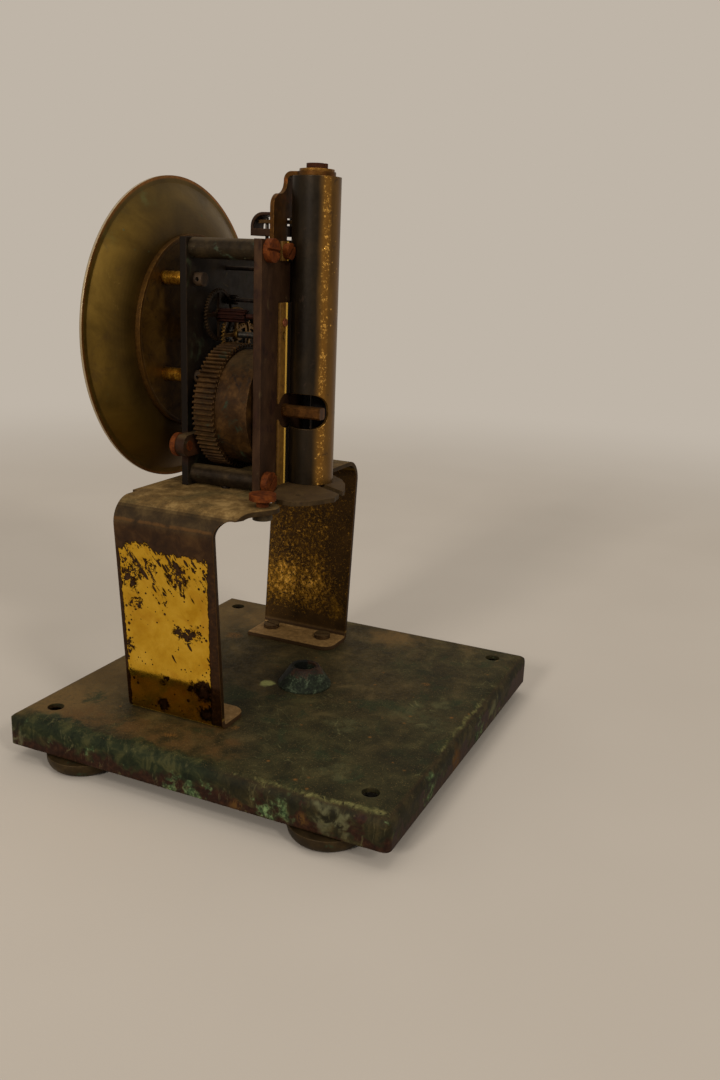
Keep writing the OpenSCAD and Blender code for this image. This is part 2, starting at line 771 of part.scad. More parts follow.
module pillar_top_right() { pillar(pillar_at[2], false); }
module pillar_top_left() { pillar(pillar_at[3], false); }
module pillar_screws() {
    thread = pillar_thread - 2 * slip;
    color("chocolate") for (k = [0:3])
        screw_y(pillar_at[k], back_face_y, pillar_screw_d, back_plate_t + thread,
            pillar_head_d, pillar_head_h, 45 - 25 * k);
}
// Screw in the lug behind the front plate, its head beside the plate's edge
module side_screw() {
    color("chocolate") {
        rod(side_screw_at, front_inner_y - over, over + side_lug_t + slip, side_screw_d);
        turned(side_screw_at, front_inner_y) polygon([[0, 0], [side_head_d / 2, 0],
            [side_head_d / 2, side_head_h - side_edge], [side_head_d / 2 - side_edge, side_head_h],
            [0, side_head_h]]);
    }
}

// Tube guard: most of a tube, two side flanges, a top lug each side
rivet_z = guide_top + tube_flange_h - rivet_drop;
oval_z = guide_top + tube_flange_h - oval_drop;
tube_mouth = sqrt(tube_r * tube_r - tube_back * tube_back) - tube_wall / 2;
module tube_section(flanges) {
    difference() {
        union() {
            circle(r = tube_r);
            if (flanges) translate([-flange_out, -tube_back]) square([2 * flange_out, flange_t]);
        }
        circle(r = tube_r - tube_wall);
        translate([-tube_mouth, -tube_r - over]) square([2 * tube_mouth, tube_r + over]);
        translate([-2 * tube_r, -2 * tube_r - tube_back]) square([4 * tube_r, 2 * tube_r]);
    }
}
lug_z = plate_top - lug_drop;
module tube_lug() {
    translate([tube_mouth, back_face_y, lug_z - lug_h / 2])
        cube([lug_x + tube_head_d / 2 - tube_mouth, flange_t, lug_h]);
}
module tube_guard() {
    color("saddlebrown") difference() {
        union() {
            translate([0, tube_y, guide_top]) linear_extrude(tube_h) tube_section(false);
            translate([0, tube_y, guide_top]) linear_extrude(tube_flange_h) tube_section(true);
            for (s = [0, 1]) mirror([s, 0, 0]) tube_lug();
        }
        rod(barrel_at, back_face_y - over, tube_back + tube_r + 2 * over, 2 * key_r);
        for (s = [-1, 1]) {
            rod([s * lug_x, lug_z], back_face_y - over, flange_t + 2 * over,
                tube_screw_d + 2 * slip);
            rod([s * tube_rivet_x, rivet_z], back_face_y - over, flange_t + 2 * over, tube_rivet_d);
            along_y(back_face_y - over, flange_t + 2 * over) translate([s * tube_rivet_x, oval_z]) {
                for (t = [-1, 1]) translate([0, t * (oval_h - oval_w) / 2]) circle(d = oval_w);
                square([oval_w, oval_h - oval_w], center = true);
            }
        }
    }
}
module tube_screws() {
    color("chocolate") for (s = [-1, 1])
        screw_y([s * lug_x, lug_z], back_face_y + flange_t, tube_screw_d,
            flange_t + back_plate_t + bracket_t, tube_head_d, tube_head_h, 45);
}
module tube_rivets() {
    color("indianred") for (s = [-1, 1]) {
        rod([s * tube_rivet_x, rivet_z], back_inner_y, back_plate_t + flange_t, tube_rivet_d);
        rod([s * tube_rivet_x, rivet_z], back_face_y + flange_t, tube_rivet_head_h, tube_rivet_head_d);
    }
}

// Suspension bracket: foot on the inner face of the back plate, ogee shoulders,
// a bend, and a round-ended arm back over the tube
bracket_front_y = back_inner_y - bracket_t;
arm_z = plate_top + bracket_up - bracket_t;
neck_r = bracket_half - neck_half - shoulder_r;
bracket_bend_at = [bracket_front_y + bracket_bend_r, arm_z + bracket_t - bracket_bend_r];
module bracket_outline() {
    translate([-bracket_half, -bracket_foot_h])
        square([2 * bracket_half, bracket_foot_h + shoulder_up]);
    polygon(concat(
        [[bracket_half, shoulder_up]],
        arc([bracket_half - shoulder_r, shoulder_up], shoulder_r, 0, 90, bend_n),
        arc([neck_half + neck_r, neck_up], neck_r, 270, 180, bend_n),
        arc([-neck_half - neck_r, neck_up], neck_r, 360, 270, bend_n),
        arc([-bracket_half + shoulder_r, shoulder_up], shoulder_r, 90, 180, bend_n)));
}
module suspension_bracket() {
    color("darkgoldenrod") difference() {
        union() {
            along_y(bracket_front_y, bracket_t) translate([0, plate_top]) bracket_outline();
            translate([-neck_half, 0, 0]) rotate([90, 0, 90]) linear_extrude(2 * neck_half)
                polygon(concat([[bracket_front_y, bracket_bend_at[1] - bracket_bend_r]],
                    arc(bracket_bend_at, bracket_bend_r, 180, 90, bend_n),
                    [[tube_y, arm_z + bracket_t], [tube_y, arm_z]],
                    arc(bracket_bend_at, bracket_bend_r - bracket_t, 90, 180, bend_n),
                    [[back_inner_y, bracket_bend_at[1] - bracket_bend_r]]));
            translate([0, tube_y, arm_z]) cylinder(r = bracket_end_r, h = bracket_t);
        }
        translate([-bracket_slot_half, bracket_front_y - over, plate_top - bracket_foot_h - over])
            cube([2 * bracket_slot_half, bracket_t + 2 * over, bracket_foot_h + bracket_slot_up + over]);
        for (s = [-1, 1])
            rod([s * lug_x, lug_z], bracket_front_y - over, bracket_t + 2 * over, tube_screw_d);
        translate([0, tube_y, arm_z - over])
            cylinder(d = top_screw_d + 2 * slip, h = bracket_t + 2 * over);
    }
}
module top_washer() {
    color("goldenrod") translate([0, tube_y, arm_z + bracket_t]) difference() {
        cylinder(d = washer_d, h = washer_h);
        translate([0, 0, -over]) cylinder(d = top_screw_d + 2 * slip, h = washer_h + 2 * over);
    }
}
module top_screw() {
    color("chocolate") screw_z([0, tube_y], arm_z + bracket_t + washer_h, top_screw_d,
        washer_h + bracket_t + top_shank, top_head_d, top_head_h, 70);
}
// Upper block hangs on the top screw and carries the spring in a slot
block_top = arm_z;
module top_block() {
    color("darkgoldenrod") difference() {
        translate([-block_w / 2, tube_y - block_w / 2, block_top - top_shank - block_h])
            cube([block_w, block_w, top_shank + block_h]);
        translate([0, tube_y, block_top - top_shank]) cylinder(d = top_screw_d, h = top_shank + over);
        translate([-spring_w, tube_y - block_slot_w / 2, block_top - top_shank - block_h - over])
            cube([2 * spring_w, block_slot_w, block_h]);
    }
}
fork_z = plate_top + fork_up;
low_block_z = guide_top + low_block_up;
spring_bottom = low_block_z + low_block_h;
spring_top = block_top - top_shank - 2 * spring_nip;
module suspension_spring() {
    color("silver") translate([-spring_w / 2, tube_y - spring_t / 2, spring_bottom])
        cube([spring_w, spring_t, spring_top - spring_bottom]);
}
module fork() {
    prong_y = pin_y - fork_tip;
    gap_half = pin_d / 2 + pin_slack;
    color("sienna") translate([0, 0, fork_z]) difference() {
        linear_extrude(fork_h) difference() {
            union() {
                translate([0, tube_y]) circle(d = fork_root_d);
                translate([-fork_bar_half, prong_y]) square([2 * fork_bar_half, tube_y - prong_y]);
            }
            translate([-gap_half, prong_y - over]) square([2 * gap_half, 2 * fork_tip + over]);
            translate([-spring_w / 2, tube_y - spring_t / 2]) square([spring_w, spring_t]);
        }
    }
}
module lower_block() {
    color("darkgoldenrod") translate([0, tube_y, low_block_z]) difference() {
        union() {
            translate([-block_w / 2, -block_t / 2, 0]) cube([block_w, block_t, low_block_h]);
            translate([0, 0, -low_block_up]) cylinder(d = hook_d, h = low_block_up + low_block_h / 2);
        }
        rotate([90, 0, 0]) translate([0, low_block_h / 2, -block_t])
            cylinder(d = hook_d, h = 2 * block_t);
    }
}
// Closed hoop round the end of the anchor pin, open to both sides
module pin_guard() {
    low_z = plate_top + guard_low;
    top_z = plate_top + guard_up;
    far_y = bracket_front_y - guard_reach;
    c = [far_y + guard_bend_r, top_z - guard_bend_r];
    color("sienna") difference() {
        translate([-guard_half, 0, 0]) rotate([90, 0, 90]) linear_extrude(2 * guard_half)
            difference() {
                polygon(concat([[bracket_front_y, top_z]], arc(c, guard_bend_r, 90, 180, bend_n),
                    [[far_y, low_z], [bracket_front_y, low_z]]));
                polygon(concat([[bracket_front_y - guard_t, top_z - guard_t]],
                    arc(c, guard_bend_r - guard_t, 90, 180, bend_n),
                    [[far_y + guard_t, low_z + guard_bar_h],
                        [bracket_front_y - guard_t, low_z + guard_bar_h]]));
            }
        translate([-guard_slot_half, pin_y - pin_d, low_z - over])
            cube([2 * guard_slot_half, 2 * pin_d, guard_bar_h + 2 * over]);
        translate([-fork_bar_half - pin_d, bracket_front_y - guard_t - over, fork_z - fork_h / 2])
            cube([2 * (fork_bar_half + pin_d), guard_t + 2 * over, 2 * fork_h]);
    }
}

// Anchor: an arched body over the escape wheel, its arbor and its upright pin
anchor_span = 46;
anchor_clear = 0.5;
anchor_t = 2;
anchor_body = 1.5;
anchor_hub_d = 3.4;
anchor_y = pin_y - anchor_t / 2;
module anchor() {
    inner = escape_r + anchor_clear;
    color("dimgray") {
        along_y(anchor_y, anchor_t) {
            translate(escape_at) polygon(concat(
                arc([0, 0], inner, 90 - anchor_span, 90 + anchor_span, 2 * bend_n),
                arc([0, 0], inner + anchor_body, 90 + anchor_span, 90 - anchor_span, 2 * bend_n)));
            translate(anchor_at) circle(d = anchor_hub_d);
        }
        arbor(anchor_at, fine_arbor_d, fine_pivot_d);
    }
}
module anchor_pin() {
    color("silver") difference() {
        translate([0, pin_y, anchor_at[1]]) cylinder(d = pin_d, h = fork_z + 3 * fork_h / 2 - anchor_at[1]);
        rod(anchor_at, pin_y - anchor_t, 2 * anchor_t, anchor_hub_d);
    }
}
// Arbor with a shoulder inside each plate
module arbor(at, d, pivot) {
    rod(at, front_inner_y + shoulder_gap, plate_gap - 2 * shoulder_gap, d);
    rod(at, front_face_y + shoulder_gap, front_plate_t + over, pivot);
    rod(at, back_inner_y - over, back_plate_t + over - shoulder_gap, pivot);
}
// Thin wheel on its arbor, with or without a collar behind it
module seated_wheel(at, y, bore, collar) {
    difference() {
        union() {
            along_y(y, wheel_t) translate(at) children();
            if (collar) rod(at, y, wheel_t + hub_h, hub_d);
        }
        rod(at, y - over, wheel_t + hub_h + 2 * over, bore);
    }
}
module escape_wheel() {
    color("dimgray") seated_wheel(escape_at, pin_y - wheel_t / 2, fine_arbor_d, true)
        crossed(escape_root_r - wheel_t, hub_d / 2, wheel_t, 4)
            polygon([for (k = [0:escape_n - 1]) for (p = [[0, escape_root_r], [0.66, escape_r],
                    [0.8, escape_r]])
                let (a = (k + p[0]) * 360 / escape_n) p[1] * [cos(a), sin(a)]]);
}
module escape_arbor() {
    color("dimgray") {
        arbor(escape_at, fine_arbor_d, fine_pivot_d);
        along_y(front_inner_y + shoulder_gap, centre_layer + wheel_t) translate(escape_at)
            leaves(escape_pinion_n, third_m, escape_turn);
    }
}
module third_wheel() {
    color("darkslategray") seated_wheel(third_at, third_wheel_y, slim_arbor_d, false)
        crossed((third_n / 2 - 3) * third_m, hub_d / 2, wheel_t * 1.5, 4)
            wheel_teeth(third_n, third_m, third_turn);
}
module third_arbor() {
    color("brown") {
        arbor(third_at, slim_arbor_d, pivot_d);
        along_y(third_wheel_y + wheel_t, third_pinion_len) translate(third_at)
            leaves(third_pinion_n, centre_m, third_turn);
    }
}
module centre_wheel() {
    color("darkgoldenrod") seated_wheel(centre_at, centre_wheel_y, arbor_d, true)
        crossed((centre_n / 2 - 3) * centre_m, hub_d / 2, wheel_t * 1.5, 4)
            wheel_teeth(centre_n, centre_m, 0);
}
// The centre arbor runs through the front plate and carries the motion work
module centre_arbor() {
    color("peru") {
        rod(centre_at, front_inner_y + shoulder_gap, plate_gap - 2 * shoulder_gap, arbor_d);
        rod(centre_at, arbor_tip_y, front_inner_y + over - arbor_tip_y, centre_pivot_d);
        rod(centre_at, back_inner_y - over, back_plate_t + over - shoulder_gap, pivot_d);
        along_y(front_inner_y + shoulder_gap, centre_pinion_len) translate(centre_at)
            leaves(centre_pinion_n, second_m, 0);
    }
}
module second_wheel() {
    color("darkgoldenrod") seated_wheel(second_at, second_wheel_y, arbor_d, true)
        crossed((second_n / 2 - 3) * second_m, hub_d / 2, wheel_t * 2, 4)
            wheel_teeth(second_n, second_m, second_turn);
}
module second_arbor() {
    color("peru") {
        arbor(second_at, arbor_d, pivot_d);
        along_y(rim_y - pinion_reach, rim_w + 2 * pinion_reach) translate(second_at)
            leaves(second_pinion_n, rim_m, second_turn);
    }
}

// Barrel: a toothed drum with a snapped-in cap, run on the winding arbor
drum_inner_r = drum_d / 2 - drum_wall;
barrel_bore_d = barrel_step_d + 2 * run;
module barrel_drum() {
    color("darkgoldenrod") difference() {
        union() {
            along_y(rim_y, rim_w) translate(barrel_at) wheel_teeth(rim_n, rim_m, rim_turn);
            rod(barrel_at, rim_y, drum_rear_y - rim_y, drum_d);
        }
        rod(barrel_at, rim_y - over, drum_rear_y - drum_wall - rim_y + over, 2 * drum_inner_r);
        rod(barrel_at, rim_y - over, barrel_cap_t + over, 2 * drum_inner_r + cap_lip);
        rod(barrel_at, rim_y, drum_rear_y - rim_y + over, barrel_bore_d);
    }
}
module barrel_cap() {
    color("goldenrod") difference() {
        rod(barrel_at, rim_y, barrel_cap_t, 2 * (drum_inner_r - cap_fit) + cap_lip);
        rod(barrel_at, rim_y - over, barrel_cap_t + 2 * over, barrel_bore_d);
    }
}
core_y = rim_y + barrel_cap_t + shoulder_gap;
core_end_y = drum_rear_y - drum_wall - shoulder_gap;
module squared(at, y, length, side, d) {
    intersection() {
        rod(at, y, length, d);
        translate([at[0] - side / 2, y, at[1] - side / 2]) cube([side, length, side]);
    }
}
module winding_arbor() {
    tip_y = front_face_y - 2 * ratchet_gap - ratchet_t;
    color("silver") {
        squared(barrel_at, tip_y, front_face_y - tip_y, front_square, winding_pivot_d);
        rod(barrel_at, front_face_y - ratchet_gap, front_plate_t + ratchet_gap + over, winding_pivot_d);
        rod(barrel_at, front_inner_y + shoulder_gap, plate_gap - 2 * shoulder_gap, barrel_step_d);
        rod(barrel_at, core_y, core_end_y - core_y, arbor_core_d);
        rod(barrel_at, back_inner_y - over, back_plate_t + 2 * over, winding_pivot_d);
        squared(barrel_at, back_face_y, square_reach, square_side, winding_pivot_d);
    }
}
// Coiled strip, from beside the arbor's core out to the drum wall
module mainspring() {
    r0 = arbor_core_d / 2 + spring_strip;
    r1 = drum_inner_r - spring_strip / 2;
    steps = spring_turns * bend_n * 2;
    function coil(i, side) = let (r = r0 + (r1 - r0) * i / steps + side * spring_strip / 2,
        a = 360 * spring_turns * i / steps) r * [cos(a), sin(a)];
    color("slategray") along_y(core_y + seat, core_end_y - core_y - 2 * seat) translate(barrel_at)
        polygon(concat([for (i = [0:steps]) coil(i, 1)], [for (i = [steps:-1:0]) coil(i, -1)]));
}
ratchet_y = front_face_y - ratchet_gap - ratchet_t;
module ratchet_wheel() {
    color("silver") difference() {
        along_y(ratchet_y, ratchet_t) translate(barrel_at)
            polygon([for (k = [0:ratchet_n - 1]) for (p = [[0, ratchet_root_r], [0.9, ratchet_r]])
                let (a = (k + p[0]) * 360 / ratchet_n) p[1] * [cos(a), sin(a)]]);
        translate([barrel_at[0] - front_square / 2, ratchet_y - over, barrel_at[1] - front_square / 2])
            cube([front_square, ratchet_t + 2 * over, front_square]);
    }
}
nose_at = barrel_at + (ratchet_r + click_nose + click_tip_r)
    * [cos(click_angle + click_lead), sin(click_angle + click_lead)];
module click() {
    u = (nose_at - click_at) / norm(nose_at - click_at);
    n = [u[1], -u[0]];
    color("slategray") difference() {
        along_y(ratchet_y, ratchet_t) {
            translate(click_at) circle(d = click_hub_d);
            translate(nose_at) circle(r = click_tip_r);
            polygon([click_at + n * click_hub_d / 2, nose_at + n * click_tip_r,
                nose_at - n * click_tip_r, click_at - n * click_arm_low]);
        }
        rod(click_at, ratchet_y - over, ratchet_t + 2 * over, click_screw_d + 2 * run);
    }
}
click_spring_at = click_at + click_spring_len * [cos(click_spring_turn), sin(click_spring_turn)];
module click_spring() {
    u = (nose_at - click_at) / norm(nose_at - click_at);
    n = [u[1], -u[0]];
    tip = click_at + u * click_spring_in + n * (click_hub_d / 2 + click_spring_gap);
    side = [-1, 1] * click_spring_t / 2;
    color("silver") difference() {
        union() {
            rod(click_spring_at, ratchet_y, ratchet_t + ratchet_gap, click_hub_d);
            along_y(ratchet_y, ratchet_t) polygon([
                for (k = [0, 1]) click_spring_at + [side[k], 0],
                for (k = [1, 0]) tip + [side[k], 0]]);
        }
        rod(click_spring_at, ratchet_y - over, ratchet_t + ratchet_gap + 2 * over, click_screw_d);
    }
}
module click_screws() {
    color("chocolate") for (p = [click_at, click_spring_at])
        translate([0, 2 * ratchet_y - slip, 0]) mirror([0, 1, 0])
            screw_y(p, ratchet_y, click_screw_d, ratchet_t + ratchet_gap + front_plate_t,
                click_head_d, click_head_h, 30);
}

// Motion work between the front plate and the dial, then the hands
cannon_y = front_face_y - cannon_gap - cannon_h;
minute_wheel_y = front_face_y - cannon_gap - (cannon_h + wheel_t) / 2;
hour_wheel_y = front_face_y - hour_layer - wheel_t;
minute_pinion_y = hour_wheel_y - pinion_reach;
dial_face_y = backing_front_y - dial_t;
hour_hand_y = dial_face_y - hand_gap - hand_t;
minute_hand_y = hour_hand_y - hand_gap - hand_t;
arbor_tip_y = minute_hand_y - hand_t;
module cannon_pinion() {
    color("peru") difference() {
        union() {
            along_y(cannon_y, cannon_h) translate(centre_at) leaves(cannon_n, motion_m, 0);
            rod(centre_at, minute_hand_y, cannon_y - minute_hand_y + cannon_h, cannon_pipe_d);
        }
        rod(centre_at, minute_hand_y - over, cannon_y - minute_hand_y + cannon_h + 2 * over,
            centre_pivot_d);
    }
}
module minute_wheel() {
    color("darkgoldenrod") difference() {
        union() {
            along_y(minute_wheel_y, wheel_t) translate(minute_at)
                wheel_teeth(minute_n, motion_m, minute_turn);
            along_y(minute_pinion_y, minute_wheel_y - minute_pinion_y) translate(minute_at)
                leaves(minute_pinion_n, hour_m, minute_turn);
        }
        rod(minute_at, minute_pinion_y - over, minute_wheel_y + wheel_t - minute_pinion_y + 2 * over,
            post_d + 2 * run);
    }
}
module minute_post() {
    color("silver") {
        rod(minute_at, minute_pinion_y - hand_gap, front_inner_y - minute_pinion_y + hand_gap, post_d);
        rod(minute_at, minute_wheel_y + wheel_t + slip, front_face_y - minute_wheel_y - wheel_t - slip,
            post_d * 3 / 2);
    }
}
module hour_wheel() {
    color("darkgoldenrod") difference() {
        union() {
            along_y(hour_wheel_y, wheel_t) translate(centre_at) wheel_teeth(hour_n, hour_m, hour_turn);
            rod(centre_at, hour_hand_y, hour_wheel_y - hour_hand_y + wheel_t, hour_pipe_d);
        }
        rod(centre_at, hour_hand_y - over, hour_wheel_y - hour_hand_y + wheel_t + 2 * over,
            cannon_pipe_d + 2 * run);
    }
}
// Plain lance hand, pointing up before it is turned
hand_form_shares = [[0.3, 0], [0.2, 0.3], [0.5, 0.62], [0.12, 0.8], [0, 1]];
module hand(y, len, bore, turn) {
    difference() {
        translate([centre_at[0], 0, centre_at[1]]) rotate([0, turn, 0]) along_y(y, hand_t) {
            circle(d = hand_hub_d);
            polygon(concat([for (p = hand_form_shares) [p[0] * hand_w, p[1] * len]],
                [for (k = [len(hand_form_shares) - 2:-1:0])
                    [-hand_form_shares[k][0] * hand_w, hand_form_shares[k][1] * len]]));
        }
        rod(centre_at, y - over, hand_t + 2 * over, bore);
    }
}
module hour_hand() {
    color("midnightblue") hand(hour_hand_y, backing_r * hour_hand_share, hour_pipe_d, 305);
}
module minute_hand() {
    color("midnightblue") hand(minute_hand_y, backing_r * minute_hand_share, cannon_pipe_d, 60);
}
// Dished sheet, flat in the middle and curving forward to a flat rim
module dial() {
    flat_r = backing_r + dial_flat_over;
    rise_w = dial_r - dial_rim_w - flat_r;
    dish = [for (i = [0:bend_n]) [flat_r + rise_w * i / bend_n, dial_depth * (1 - cos(90 * i / bend_n))]];
    color("olive") turned(centre_at, backing_front_y) polygon(concat(
        [[dial_hole_d / 2, 0]], dish, [[dial_r, dial_depth], [dial_r, dial_depth + dial_t]],
        [for (i = [bend_n:-1:0]) dish[i] + [0, dial_t]], [[dial_hole_d / 2, dial_t]]));
}
module dial_backing() {
    color("goldenrod") difference() {
        turned(centre_at, backing_rear_y) polygon([[dial_hole_d / 2, 0], [backing_r - dial_rim_w / 2, 0],
            [backing_r - dial_rim_w / 2, -backing_lip], [backing_r, -backing_lip],
            [backing_r, backing_t], [dial_hole_d / 2, backing_t]]);
        for (p = foot_at) rod(p, backing_front_y - over, backing_t + 2 * over, foot_rivet_d);
    }
}
module dial_feet() {
    color("gold") difference() {
        for (p = foot_at) {
            rod(p, backing_front_y, backing_t + over, foot_rivet_d);
            rod(p, backing_rear_y, dial_gap + front_plate_t + foot_inner_reach, dial_foot_d);
            rod(p, front_face_y - foot_collar_h, foot_collar_h, foot_collar_d);
        }
        for (p = foot_at) translate([p[0] - dial_foot_d, front_inner_y + foot_inner_reach / 2, p[1]])
            rotate([0, 90, 0]) cylinder(d = foot_cross_d, h = 2 * dial_foot_d);
    }
}

base_plate();
foot_front_right();
foot_front_left();
foot_rear_right();
foot_rear_left();
centre_cup();
cup_nut();
stand_bridge();
stand_screws();
stand_nuts();
lobe_screw();
lobe_bush();
movement_screws();
lower_guide();
front_plate();
back_plate();
pillar_top_right();
pillar_top_left();
pillar_bottom_right();
pillar_bottom_left();
pillar_screws();
side_screw();
tube_guard();
tube_screws();
tube_rivets();
suspension_bracket();
top_washer();
top_screw();
top_block();
suspension_spring();
fork();
lower_block();
pin_guard();
anchor();
anchor_pin();
escape_wheel();
escape_arbor();
third_wheel();
third_arbor();
centre_wheel();
centre_arbor();
second_wheel();
second_arbor();
barrel_drum();
barrel_cap();
winding_arbor();
mainspring();
ratchet_wheel();
click();
click_spring();
click_screws();
cannon_pinion();
minute_wheel();
minute_post();
hour_wheel();
hour_hand();
minute_hand();
dial();
dial_backing();
dial_feet();
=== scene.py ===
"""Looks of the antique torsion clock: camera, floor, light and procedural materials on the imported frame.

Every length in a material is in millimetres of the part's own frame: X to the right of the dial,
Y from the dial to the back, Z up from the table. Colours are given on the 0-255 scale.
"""

import math

import bpy
from mathutils import Matrix, Vector
from mathutils.bvhtree import BVHTree


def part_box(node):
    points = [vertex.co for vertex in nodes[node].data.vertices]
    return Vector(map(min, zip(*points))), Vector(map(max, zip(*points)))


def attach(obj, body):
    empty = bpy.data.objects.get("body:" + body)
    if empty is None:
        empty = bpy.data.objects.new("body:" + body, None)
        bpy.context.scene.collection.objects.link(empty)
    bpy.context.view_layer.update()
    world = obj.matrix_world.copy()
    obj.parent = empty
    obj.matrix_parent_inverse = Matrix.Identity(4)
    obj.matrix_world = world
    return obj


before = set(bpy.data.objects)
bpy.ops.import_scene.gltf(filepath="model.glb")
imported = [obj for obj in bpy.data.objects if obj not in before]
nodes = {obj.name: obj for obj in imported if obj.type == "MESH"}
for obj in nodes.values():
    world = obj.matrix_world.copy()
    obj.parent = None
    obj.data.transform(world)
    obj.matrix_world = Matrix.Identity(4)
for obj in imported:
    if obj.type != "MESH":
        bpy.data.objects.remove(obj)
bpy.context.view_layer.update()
scene = bpy.context.scene
scene.view_settings.view_transform = "Standard"

MM = 0.001
DEGREES = 57.3   # in a radian

# Faces and axes that the looks are drawn on, in millimetres
BASE_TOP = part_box("base_plate")[1].z / MM
BASE_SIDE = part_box("base_plate")[1].x / MM
NEAR_LEG_X = 50.0       # the outside of the +X leg, halfway up
NEAR_LEG_LOW_X = 47.0   # the same near its foot
FAR_LEG_X = -48.0       # the inside of the -X leg, halfway up
TUBE_RADIUS = 8.0
TUBE_AXIS_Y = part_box("tube_guard")[1].y / MM - TUBE_RADIUS
DIAL_AXIS_Z = sum(corner.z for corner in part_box("dial")) / 2 / MM
DIAL_REAR_Y = -44.0
SIDE_SCREW_PLACE = (27, -28, 105)

# The dial's figures: radii and widths, in millimetres
FIGURE_RAISE, FIGURE_SINK = 0.12, 0.05
HOURS_INNER, HOURS_OUTER = 38.0, 44.4
SERIF = 0.3
THICK, THIN = 0.85, 0.35
LETTER_WIDTHS = {"I": 1.7, "V": 4.2, "X": 4.2}
V_SPREAD, X_SPREAD = 1.5, 1.4
TRACK_INNER, TRACK_OUTER, TRACK_LINE, TRACK_LAP = 46.2, 48.4, 0.25, 0.05
HOUR_MARK, MINUTE_MARK = 0.9, 0.3
RING_STEPS = 120
STROKE_STEPS = 3

BACKDROP = (191, 181, 168)
PAPER_DARK, PAPER = (185, 174, 160), (188, 177, 163)
FLOOR_REACH = 40.0                  # metres
FADE_START, FADE_END = 330, 850     # where the floor runs into the backdrop, from the object's middle
STUDIO_TINT, STUDIO_STRENGTH = (1.0, 0.97, 0.93, 1.0), 0.5
LAMP_TINT = (1.0, 0.98, 0.95)
LAMP_AIM = (0, 0, 0.08)             # metres


# ---- small helpers


def rgb(r, g, b):
    """A colour on the 0-255 scale, as the linear RGBA that a socket takes."""
    out = []
    for c in (r, g, b):
        c = c / 255
        out.append(c / 12.92 if c <= 0.04045 else ((c + 0.055) / 1.055) ** 2.4)
    return (*out, 1.0)


def shaded(colour, factor):
    """A colour on the 0-255 scale, made darker or lighter."""
    return tuple(min(255, c * factor) for c in colour)


